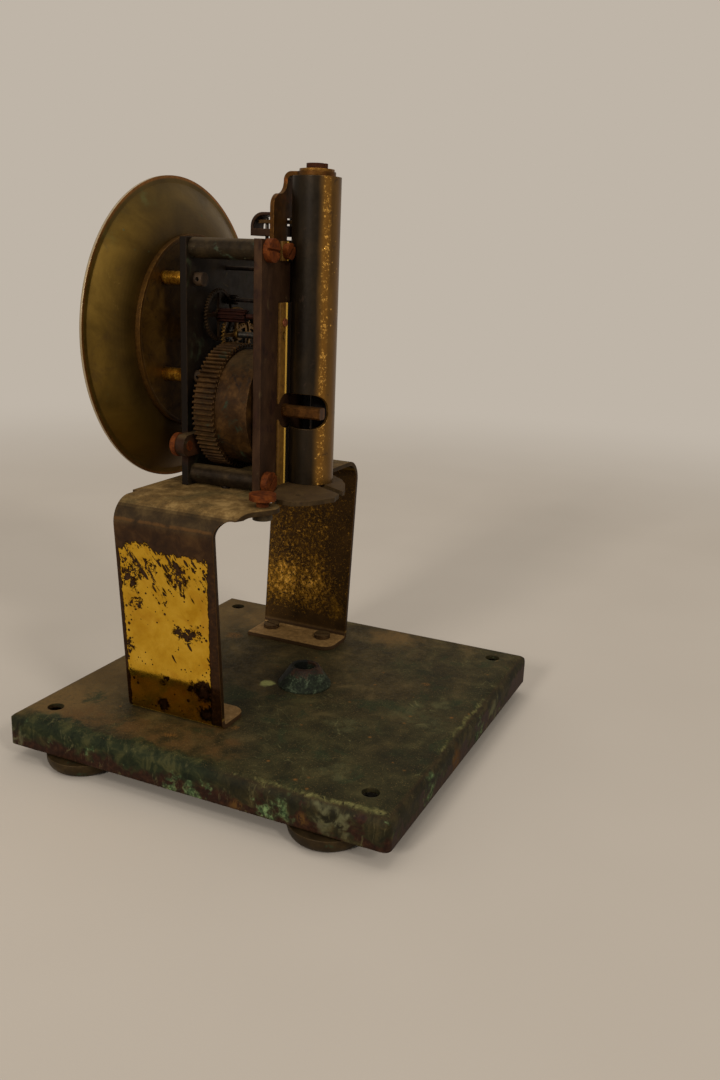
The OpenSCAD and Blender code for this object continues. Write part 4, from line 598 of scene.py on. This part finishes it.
def tube_look():
    """Dark satin tube, golden on its near right, with a painted highlight band and glints where the right lamp shines.
    """
    g = Graph("tube_brass_look")
    mid = g.noise(9, 5, 0.62, 0.4, (1, 4, 7), (1, 1, 0.35))
    fine = g.noise(1.3, 4, 0.7, 0.2, (6, 2, 3))
    grain = g.noise(0.45, 2, 0.6)
    edge = g.edges(0.3)
    # how far a spot of the wall lies round the tube from its +X side, in degrees
    turned = g.mul(g.math("ARCTAN2", g.minus(g.y, TUBE_AXIS_Y), g.x), DEGREES)
    turned = g.plus(turned, g.sway(mid, 10))
    golden = g.mul(g.span(turned, 30, 48), g.span(turned, 196, 168))
    # painted highlight: a band of brighter gold and glints, placed round the tube where the right lamp's highlight
    # falls
    painted_sheen_band = g.between(turned, 46, 62, 5)
    speck = g.mul(g.either(g.specks(1.3, 0.42, 0.4, (0, 1, 2), 0.7), g.span(g.noise(0.9, 4, 0.8), 0.55, 0.62)), painted_sheen_band)
    speck = g.either(speck, g.mul(g.specks(1.2, 0.3, 0.12, (4, 4, 2), 0.7), golden, 0.7))
    out_x = g.absolute(g.x)
    flange = g.mul(g.span(out_x, TUBE_RADIUS + 0.1, TUBE_RADIUS + 0.6), g.span(g.y, 4, 2.5))
    # painted highlight: a bright line on the flange beside the tube wall, where the bend between them catches the light
    painted_fillet_highlight = g.mul(flange, g.span(out_x, TUBE_RADIUS + 1.6, TUBE_RADIUS + 1.2))
    # painted shade: the tube's inner wall is darkened where it lies in shade
    inside = g.span(g.minus(g.mul(g.x, g.nx), g.mul(g.minus(TUBE_AXIS_Y, g.y), g.ny)), 0, -3)
    inside = g.mul(inside, g.span(out_x, TUBE_RADIUS + 0.15, TUBE_RADIUS - 0.05))
    colour = g.ramp(mid, (0.32, (25, 18, 10)), (0.5, (34, 26, 15)), (0.68, (47, 35, 20)))
    golden_colour = g.ramp(mid, (0.3, (76, 53, 23)), (0.6, (104, 74, 32)), (0.8, (126, 91, 42)))
    flange_colour = g.ramp(fine, (0.3, (80, 54, 16)), (0.6, (108, 74, 24)), (0.8, (136, 98, 36)))
    height = g.plus(g.mul(fine, 0.012), g.mul(grain, 0.006), g.mul(speck, 0.01))
    return g.finish(colour, 0.6, g.span(fine, 0.3, 0.7, 0.3, 0.42), height, [
        (golden, golden_colour, 0.75, 0.36),
        # painted highlight: the sheen band and its glints
        (g.mul(painted_sheen_band, 0.6), (134, 92, 34), 0.8, 0.3),
        (speck, (248, 190, 92), 1, 0.16),
        (g.mul(g.span(g.noise(3.4, 5, 0.7, 0.4, (9, 2, 1)), 0.6, 0.68), 0.6), (48, 32, 18), 0.4, 0.5),
        (flange, flange_colour, 0, 0.5),
        (g.mul(flange, g.span(g.noise(2.2, 5, 0.7, 0.3, (4, 8, 1)), 0.56, 0.64)), (84, 54, 20), 0.1, 0.5),
        # painted highlight along the flange's bend
        (g.mul(painted_fillet_highlight, 0.8), (250, 196, 84), 0, 0.4),
        (g.mul(edge, 0.45), (132, 96, 50), 0.8, 0.38),
        # painted shade inside the tube
        (inside, (24, 17, 11), 0.2, 0.65),
    ], 0.25)


def dial_look():
    """Rear of the dial: olive satin brass with verdigris spots. Front: aged silvering."""
    g = Graph("dial_brass_look")
    mid = g.noise(16, 5, 0.6, 0.5, (2, 2, 5))
    fine = g.noise(1.6, 4, 0.7, 0.2, (6, 1, 3))
    grain = g.noise(0.4, 2, 0.6)
    torn = g.warped(5, 5, (1, 2, 2))
    edge = g.edges(0.4)
    dz = g.minus(g.z, DIAL_AXIS_Z)
    radius = g.across(g.x, dz)
    rear = g.span(g.ny, -0.1, 0.1)
    front = g.without(rear)

    def on_rear(*spots):
        """Patches of (x, z, radius) on the dial's rear."""
        return g.places(torn, *[(x, DIAL_REAR_Y, z, size) for x, z, size in spots])

    def scratch(*points):
        """A thin line through points (x, z) of the dial's rear."""
        return g.stroke(torn, 0.12, 0.25, *[(x, DIAL_REAR_Y, z) for x, z in points])

    colour = g.ramp(mid, (0.3, (74, 56, 18)), (0.5, (98, 75, 26)), (0.7, (118, 92, 36)))
    dull = g.span(radius, 47, 36, 0, 0.75)
    # painted shade: the rear of the dial is darker towards its top
    upper = g.mul(g.span(dz, 26, 44), 0.5)
    rim = g.span(radius, 50.4, 51)
    specks = g.either(g.specks(4, 0.9, 0.16, (0, 0, 1), 0.7), g.mul(g.specks(2, 0.45, 0.2, (3, 1, 1), 0.7), 0.8))
    spots = g.mul(specks, g.span(g.noise(22, 3, 0.5, 0.2, (7, 7, 0)), 0.48, 0.62))
    bloom = g.mul(on_rear((37.5, 181, 7), (40, 174, 6), (32, 183, 5), (20, 187, 6), (-30, 110, 10)),
                  g.span(g.noise(4, 4, 0.7, 0.4, (3, 3, 3)), 0.36, 0.6))
    drop = on_rear((41.5, 172.5, 1.6), (52, 127.6, 0.8))
    scratches = g.either(scratch((41, 160), (37, 154)), scratch((43, 157), (39.5, 149)))
    stain = g.span(g.noise(12, 5, 0.66, 0.8, (0, 8, 2)), 0.56, 0.7)
    front_colour = g.ramp(mid, (0.3, (176, 162, 128)), (0.5, (198, 187, 158)), (0.7, (212, 204, 180)))
    freckle = g.mul(front, g.either(g.specks(3.4, 0.7, 0.2, (8, 0, 1), 0.7),
                                    g.span(g.noise(9, 5, 0.7, 0.7, (1, 5, 3)), 0.62, 0.72)))
    height = g.plus(g.mul(fine, 0.012), g.mul(grain, 0.008), g.mul(spots, 0.02))
    return g.finish(colour, 0.75, g.span(fine, 0.3, 0.7, 0.36, 0.48), height, [
        (dull, g.ramp(mid, (0.3, (48, 33, 10)), (0.7, (74, 53, 18))), 0.65, 0.45),
        # painted shade on the upper part of the dial's rear
        (upper, (66, 52, 17), 0.5, 0.5),
        (g.mul(g.span(dz, -18, -40), 0.6), (116, 84, 26), 0.8, 0.4),
        (g.mul(stain, 0.45), (66, 46, 20), 0.6, 0.5),
        (g.mul(rear, bloom, 0.55), (80, 84, 42), 0.2, 0.65),
        (g.mul(rear, drop, 0.7), (30, 28, 14), 0, 0.6),
        (g.mul(rear, scratches, 0.5), (150, 120, 62), 0.8, 0.4),
        (g.mul(rear, rim), g.ramp(fine, (0.3, (104, 66, 26)), (0.7, (148, 98, 42))), 0.8, 0.4),
        (g.mul(spots, rear), g.ramp(fine, (0.3, (50, 58, 34)), (0.7, (80, 88, 54))), 0, 0.75),
        (front, front_colour, 0.55, 0.42),
        (g.mul(freckle, 0.7), (112, 88, 52), 0.3, 0.55),
        (g.mul(edge, 0.4), (150, 110, 50), 0.9, 0.38),
    ], 0.25)


def backing_look():
    """Disc behind the dial: brown brass, darker in its upper part and along its rim."""
    g = Graph("backing_brass_look")
    mid = g.noise(8, 5, 0.66, 0.6, (2, 7, 5))
    fine = g.noise(1.4, 4, 0.72, 0.2, (1, 1, 3))
    grain = g.noise(0.4, 2, 0.6)
    edge = g.edges(0.3)
    dz = g.minus(g.z, DIAL_AXIS_Z)
    rim = g.span(g.across(g.x, dz), 31.6, 32.2)
    colour = g.ramp(mid, (0.3, (56, 36, 12)), (0.5, (88, 60, 20)), (0.7, (120, 86, 32)))
    height = g.plus(g.mul(fine, 0.015), g.mul(grain, 0.008))
    return g.finish(colour, 0.6, g.span(fine, 0.3, 0.7, 0.34, 0.5), height, [
        (g.mul(g.span(dz, 14, 26), 0.6), (42, 28, 10), 0.4, 0.5),
        (g.mul(g.span(g.noise(4, 5, 0.7, 0.5, (9, 1, 1)), 0.55, 0.65), 0.7), (44, 28, 10), 0.4, 0.55),
        (rim, g.ramp(fine, (0.3, (58, 36, 12)), (0.7, (92, 62, 22))), 0.6, 0.42),
        (g.mul(edge, 0.35), (120, 82, 30), 0.8, 0.38),
    ], 0.15)


# ---- the small pieces' materials


def cup_look():
    """Thick cup in the middle of the base: rusty brown rim, verdigris and chalk round its foot."""
    g = Graph("cup_brass_look")
    mid = g.noise(3.4, 5, 0.66, 0.6, (3, 1, 2))
    fine = g.noise(0.8, 4, 0.7, 0, (1, 5, 2))
    edge = g.edges(0.8)
    low = g.span(g.plus(g.z, g.sway(mid, 12)), 24, 22)
    colour = g.ramp(g.plus(g.mul(mid, 0.6), g.mul(fine, 0.4)),
                    (0.38, (18, 10, 5)), (0.5, (34, 19, 9)), (0.62, (56, 36, 19)))
    teal = g.ramp(g.plus(g.mul(mid, 0.5), g.mul(fine, 0.5)),
                  (0.4, (15, 17, 9)), (0.52, (32, 38, 23)), (0.62, (74, 82, 60)))
    # painted shade: the cup's bore is darkened to near black
    painted_bore_shade = g.mul(g.span(g.z, 28, 24), g.span(g.across(g.x, g.y), 6.6, 5.6))
    height = g.plus(g.mul(mid, 0.25), g.mul(fine, 0.1))
    return g.finish(colour, 0, g.span(fine, 0.3, 0.7, 0.5, 0.7), height, [
        (low, teal, 0, 0.75),
        (g.mul(edge, low, 0.2), (100, 102, 76), 0, 0.8),
        # painted shade in the cup's bore
        (painted_bore_shade, (16, 17, 11), 0, 0.6),
    ], 0.15)


def rust_look(name, dark, main, light):
    """Rusted screw heads: warm orange, pitted, with darker patches."""
    g = Graph(name)
    mid = g.noise(2.4, 5, 0.65, 0.5, (1, 2, 6))
    fine = g.noise(0.5, 4, 0.72, 0, (3, 3, 3))
    edge = g.edges(0.25)
    colour = g.ramp(g.plus(g.mul(mid, 0.65), g.mul(fine, 0.35)), (0.35, dark), (0.5, main), (0.66, light))
    height = g.plus(g.mul(mid, 0.05), g.mul(fine, 0.06))
    return g.finish(colour, 0, g.span(fine, 0.3, 0.7, 0.6, 0.85), height, [
        (g.mul(g.span(g.noise(3.6, 4, 0.6, 0.3, (8, 1, 1)), 0.56, 0.66), 0.6), dark, 0, 0.8),
        (g.mul(edge, 0.35), light, 0, 0.65),
    ], 0.1)


def stud_look():
    """Turned brass of the dial feet, with painted shade at the inner end where the backing disc shades them."""
    g = Graph("stud_brass_look")
    tone = g.noise(2.5, 5, 0.62, 0.4, (4, 3, 1))
    fine = g.noise(0.6, 4, 0.68)
    rings = g.noise(1.2, 3, 0.6, 0, (1, 1, 1), (0.1, 1, 0.1))
    g.edges(0.2)
    colour = g.ramp(g.plus(g.mul(tone, 0.6), g.mul(rings, 0.4)),
                    (0.36, (104, 66, 16)), (0.5, (148, 102, 28)), (0.62, (196, 144, 48)))
    shade_colour = g.ramp(tone, (0.3, (34, 24, 14)), (0.7, (72, 54, 36)))
    return g.finish(colour, 0.9, g.span(fine, 0.3, 0.7, 0.22, 0.36), g.mul(rings, 0.03), [
        (g.mul(g.span(g.noise(2, 4, 0.7, 0.4, (7, 7, 7)), 0.58, 0.66), 0.7), (90, 56, 20), 0.5, 0.5),
        # painted shadow of the backing disc on the feet's inner ends
        (g.span(g.y, -30, -28.6), shade_colour, 0.2, 0.55),
    ], 0.2)


def figures_look():
    """Black wax of the dial's figures: dulled, rubbed through to the brass in places."""
    g = Graph("dial_figures_look")
    mid = g.noise(6, 4, 0.6, 0.3, (2, 5, 1))
    fine = g.noise(0.8, 4, 0.7, 0.2, (4, 4, 9))
    edge = g.edges(0.15)
    colour = g.ramp(mid, (0.3, (16, 12, 8)), (0.5, (25, 19, 13)), (0.7, (40, 31, 20)))
    worn = g.either(g.span(fine, 0.6, 0.7), g.mul(edge, 0.4))
    return g.finish(colour, 0, g.span(fine, 0.3, 0.7, 0.45, 0.7), g.mul(fine, 0.01), [
        (g.mul(worn, 0.8), (92, 70, 32), 0.3, 0.5),
    ], 0.5)


def metal_look(name, tones, metallic, rough, size, patches=(), dust=0, dust_colour=(92, 72, 42),
               edge_colour=None, edge_radius=0.25, streak=(1, 1, 1), shaded_flanks=None):
    """An aged metal: three tones in noise, patches, worn edges and dust on top.

    rough is its least and greatest roughness, and a patch is (colour, low, high, size, metallic,
    roughness), where low and high are the noise values between which it sets in.
    """
    g = Graph(name)
    seed = sum(ord(c) for c in name) % 17
    tone = g.noise(size, 5, 0.62, 0.4, (seed, 3, 1), streak)
    fine = g.noise(size * 0.22, 4, 0.68, 0.2, (2, seed, 5), streak)
    grain = g.noise(0.35, 2, 0.6, 0, (seed, seed, 0))
    both = g.plus(g.mul(tone, 0.7), g.mul(fine, 0.3))
    colour = g.ramp(both, *zip((0.34, 0.5, 0.66), tones))
    edge = g.edges(edge_radius)
    layers = []
    for k, (patch, low, high, patch_size, patch_metallic, patch_rough) in enumerate(patches):
        where = g.span(g.noise(patch_size, 5, 0.66, 0.6, (seed + 3.1 * k, 1.7, 4 * k)), low, high)
        shade = g.blend(g.span(fine, 0.35, 0.65), shaded(patch, 0.75), shaded(patch, 1.15))
        layers.append((where, shade, patch_metallic, patch_rough))
    if shaded_flanks:
        # painted shade on the plate's side edges, and rust round the side screw
        layers.append((g.span(g.absolute(g.nx), 0.6, 0.9), g.blend(fine, shaded(shaded_flanks, 0.7), shaded_flanks), 0.2, 0.55))
        layers.append((g.mul(g.ball(SIDE_SCREW_PLACE, 5, 3), g.span(tone, 0.4, 0.55)), (64, 34, 14), 0, 0.7))
    if edge_colour:
        layers.append((g.mul(edge, g.span(fine, 0.3, 0.6), 0.7), edge_colour, min(1, metallic + 0.2), rough[0]))
    if dust:
        lying = g.mul(g.span(g.nz, 0.6, 0.95), g.span(fine, 0.25, 0.6, 0.5, 1), dust)
        layers.append((lying, dust_colour, 0, 0.85))
    height = g.plus(g.mul(fine, 0.02), g.mul(grain, 0.012))
    return g.finish(colour, metallic, g.span(fine, 0.3, 0.7, *rough), height, layers, 0.12)


# ---- who wears what

dress(base_plate_look(), "base_plate")
dress(bridge_look(), "stand_bridge")
dress(tube_look(), "tube_guard")
dress(dial_look(), "dial")
dress(backing_look(), "dial_backing")
dress(cup_look(), "centre_cup")
dress(stud_look(), "dial_feet")
dress(rust_look("rust_look", (54, 22, 4), (84, 38, 8), (112, 57, 16)),
      "pillar_screws", "tube_screws", "lobe_screw", "click_screws", "side_screw")
# painted shade: a darker copy of the rust for the top screw, which sits in the full light from above
dress(rust_look("top_rust_shaded_look", (34, 15, 5), (58, 28, 9), (80, 43, 16)), "top_screw")
dress(metal_look("foot_brass_look", ((30, 22, 10), (46, 34, 17), (64, 49, 25)), 0.2, (0.45, 0.62), 8,
                 [((40, 50, 32), 0.58, 0.68, 6, 0, 0.75)], edge_colour=(84, 64, 34), edge_radius=0.4),
      "foot_front_right", "foot_front_left", "foot_rear_right", "foot_rear_left", "cup_nut", "stand_nuts")
dress(metal_look("stand_screw_look", ((42, 28, 14), (62, 43, 22), (86, 62, 34)), 0.25, (0.45, 0.62), 2.5,
                 [((90, 68, 40), 0.58, 0.68, 1.5, 0, 0.7)], dust=0.5, edge_colour=(104, 78, 44)),
      "stand_screws")
dress(metal_look("plate_brass_look", ((38, 24, 14), (54, 35, 21), (72, 49, 30)), 0.35, (0.4, 0.55), 12,
                 [((50, 31, 22), 0.54, 0.66, 9, 0.4, 0.5), ((70, 54, 32), 0.62, 0.72, 4, 0.1, 0.65)],
                 dust=0.6, edge_colour=(84, 58, 34), edge_radius=0.5, streak=(1, 1, 0.4)),
      "back_plate", "pin_guard")
# painted shade: a darker copy of the plate brass for the front plate, which stands in shade
dress(metal_look("front_plate_look", ((22, 16, 10), (34, 25, 16), (48, 38, 25)), 0.35, (0.42, 0.58), 10,
                 [((48, 50, 34), 0.56, 0.68, 7, 0, 0.7), ((66, 56, 36), 0.62, 0.72, 3, 0.1, 0.65)],
                 dust=0.5, edge_colour=(60, 43, 26), edge_radius=0.5, shaded_flanks=(26, 18, 10)),
      "front_plate")
dress(metal_look("pillar_steel_look", ((27, 20, 11), (42, 32, 18), (60, 47, 28)), 0.35, (0.36, 0.54), 6,
                 [((54, 60, 44), 0.54, 0.64, 5, 0, 0.75), ((112, 108, 82), 0.62, 0.69, 2.6, 0, 0.85)],
                 dust=0.4, edge_colour=(74, 60, 34), edge_radius=0.3),
      "pillar_top_right", "pillar_top_left")
dress(metal_look("pillar_dark_look", ((26, 19, 12), (41, 31, 20), (60, 46, 29)), 0.45, (0.34, 0.5), 6,
                 [((52, 50, 30), 0.6, 0.7, 4, 0, 0.75)], dust=0.6, edge_colour=(80, 62, 38), edge_radius=0.3),
      "pillar_bottom_right", "pillar_bottom_left")
dress(metal_look("tube_rivet_look", ((96, 52, 32), (130, 74, 46), (160, 100, 66)), 0.5, (0.34, 0.5), 1.5),
      "tube_rivets")
dress(metal_look("guide_brass_look", ((38, 27, 12), (56, 41, 20), (76, 58, 31)), 0, (0.55, 0.75), 5,
                 [((56, 40, 26), 0.55, 0.66, 4, 0.1, 0.6)], dust=0.5, dust_colour=(74, 54, 28),
                 edge_colour=(80, 60, 31), edge_radius=0.4),
      "lower_guide")
dress(metal_look("lobe_bush_look", ((48, 38, 24), (66, 54, 36), (84, 70, 48)), 0.1, (0.45, 0.65), 3,
                 dust=0.4, edge_colour=(100, 82, 54), edge_radius=0.3),
      "lobe_bush")
dress(metal_look("bracket_brass_look", ((54, 32, 8), (78, 48, 14), (106, 69, 24)), 0.6, (0.36, 0.52), 6,
                 [((100, 54, 18), 0.56, 0.66, 5, 0.5, 0.45)], dust=0.4, edge_colour=(140, 98, 46), edge_radius=0.35),
      "suspension_bracket")
dress(metal_look("washer_brass_look", ((74, 47, 16), (110, 74, 28), (144, 104, 46)), 0.8, (0.3, 0.45), 3,
                 dust=0.35, edge_colour=(164, 120, 56), edge_radius=0.3),
      "top_washer")
dress(metal_look("block_brass_look", ((44, 29, 14), (68, 47, 23), (92, 66, 34)), 0.5, (0.38, 0.52), 2,
                 dust=0.3, edge_colour=(104, 76, 40), edge_radius=0.2),
      "top_block", "lower_block", "fork")
dress(metal_look("wheel_brass_look", ((70, 48, 18), (104, 75, 32), (134, 100, 46)), 0.75, (0.34, 0.48), 6,
                 [((62, 42, 18), 0.56, 0.66, 5, 0.5, 0.5)], dust=0.3, edge_colour=(142, 104, 48), edge_radius=0.2),
      "escape_wheel", "centre_wheel", "second_wheel", "minute_wheel", "hour_wheel")
dress(metal_look("barrel_brass_look", ((32, 19, 7), (55, 35, 14), (84, 57, 26)), 0.45, (0.4, 0.55), 7,
                 [((38, 25, 13), 0.54, 0.66, 6, 0.3, 0.55), ((38, 42, 26), 0.58, 0.68, 6, 0, 0.7)],
                 dust=0.4, edge_colour=(104, 76, 42), edge_radius=0.2),
      "barrel_drum", "barrel_cap")
dress(metal_look("third_wheel_look", ((24, 15, 7), (38, 25, 12), (56, 40, 22)), 0.5, (0.4, 0.55), 6,
                 dust=0.3, edge_colour=(60, 42, 22), edge_radius=0.2),
      "third_wheel")
dress(metal_look("steel_look", ((52, 46, 40), (78, 72, 64), (104, 98, 88)), 0.8, (0.3, 0.44), 4,
                 [((80, 54, 34), 0.58, 0.68, 3, 0.3, 0.6)], dust=0.2, edge_colour=(126, 120, 108), edge_radius=0.15),
      "centre_arbor", "second_arbor", "ratchet_wheel", "click", "click_spring", "cannon_pinion",
      "minute_post", "anchor_pin", "suspension_spring")
dress(metal_look("brown_steel_look", ((46, 26, 7), (68, 40, 13), (94, 58, 22)), 0.55, (0.34, 0.48), 3,
                 dust=0.2, edge_colour=(104, 68, 28), edge_radius=0.15),
      "winding_arbor")
dress(metal_look("dark_steel_look", ((24, 19, 16), (38, 31, 26), (56, 46, 38)), 0.7, (0.34, 0.48), 3,
                 [((76, 44, 24), 0.58, 0.68, 2.4, 0.1, 0.65)], dust=0.3, edge_colour=(78, 64, 50), edge_radius=0.2),
      "anchor", "escape_arbor", "movement_screws")
dress(metal_look("red_steel_look", ((24, 9, 4), (38, 15, 7), (56, 25, 12)), 0.3, (0.42, 0.6), 2),
      "third_arbor")
dress(metal_look("blued_steel_look", ((16, 18, 26), (24, 27, 40), (38, 42, 60)), 0.9, (0.22, 0.36), 5,
                 [((60, 40, 28), 0.62, 0.72, 3, 0.3, 0.6)], dust=0.15, edge_colour=(60, 64, 84), edge_radius=0.15),
      "hour_hand", "minute_hand", "mainspring")


# ---- the dial's figures


def dial_figures():
    """Plain Roman hours and a minute track, laid as thin strips on the dial's dished front."""
    dial = nodes["dial"]
    corners = [dial.matrix_world @ v.co / MM for v in dial.data.vertices]
    ground = BVHTree.FromPolygons(corners, [tuple(face.vertices) for face in dial.data.polygons])
    middle_x = (min(c.x for c in corners) + max(c.x for c in corners)) / 2
    middle_z = (min(c.z for c in corners) + max(c.z for c in corners)) / 2
    ahead_y = min(c.y for c in corners) - 1.0
    vertices, faces = [], []

    def strip(turn, *sections):
        """A raised strip through sections (radius, from, to), measured along and across a ray of the dial."""
        start = len(vertices)
        for radius, low, high in sections:
            for across in (low, high):
                x = middle_x + radius * math.sin(turn) + across * math.cos(turn)
                z = middle_z + radius * math.cos(turn) - across * math.sin(turn)
                front = ground.ray_cast(Vector((x, ahead_y, z)), Vector((0.0, 1.0, 0.0)))[0].y
                vertices.append((x * MM, (front - FIGURE_RAISE) * MM, z * MM))
                vertices.append((x * MM, (front + FIGURE_SINK) * MM, z * MM))
        last = start + 4 * (len(sections) - 1)
        for i in range(start, last, 4):
            faces.extend([(i, i + 2, i + 6, i + 4), (i + 1, i + 5, i + 7, i + 3),
                          (i, i + 4, i + 5, i + 1), (i + 2, i + 3, i + 7, i + 6)])
        faces.extend([(start, start + 1, start + 3, start + 2), (last, last + 2, last + 3, last + 1)])

    def stroke(turn, foot, head, width):
        """A straight stroke from foot on the hours' inner circle to head on their outer one."""
        sections = []
        for i in range(STROKE_STEPS + 1):
            part = i / STROKE_STEPS
            middle = foot + (head - foot) * part
            sections.append((HOURS_INNER + (HOURS_OUTER - HOURS_INNER) * part, middle - width / 2, middle + width / 2))
        strip(turn, *sections)

    for hour, text in enumerate(("XII", "I", "II", "III", "IIII", "V", "VI", "VII", "VIII", "IX", "X", "XI")):
        turn = hour * math.tau / 12
        half = sum(LETTER_WIDTHS[letter] for letter in text) / 2
        at = -half
        for letter in text:
            middle = at + LETTER_WIDTHS[letter] / 2
            if letter == "I":
                stroke(turn, middle, middle, THICK)
            elif letter == "V":
                stroke(turn, middle, middle - V_SPREAD, THICK)
                stroke(turn, middle, middle + V_SPREAD, THIN)
            else:
                stroke(turn, middle + X_SPREAD, middle - X_SPREAD, THICK)
                stroke(turn, middle - X_SPREAD, middle + X_SPREAD, THIN)
            at += LETTER_WIDTHS[letter]
        for radius in (HOURS_INNER - SERIF, HOURS_OUTER):
            strip(turn, (radius, -half, half), (radius + SERIF, -half, half))
    for i in range(RING_STEPS):
        for inner in (TRACK_INNER, TRACK_OUTER):
            reaches = [(radius, radius * math.tan(math.pi / RING_STEPS)) for radius in (inner, inner + TRACK_LINE)]
            strip(i * math.tau / RING_STEPS, *[(radius, -reach, reach) for radius, reach in reaches])
    for minute in range(60):
        half = (HOUR_MARK if minute % 5 == 0 else MINUTE_MARK) / 2
        strip(minute * math.tau / 60, (TRACK_INNER + TRACK_LINE - TRACK_LAP, -half, half),
              (TRACK_OUTER + TRACK_LAP, -half, half))
    mesh = bpy.data.meshes.new("dial_figures")
    mesh.from_pydata(vertices, [], faces)
    mesh.validate()
    piece = bpy.data.objects.new("dial_figures", mesh)
    scene.collection.objects.link(piece)
    return piece


bpy.context.view_layer.update()
figures = dial_figures()
figures.data.materials.append(figures_look())
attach(figures, "frame")
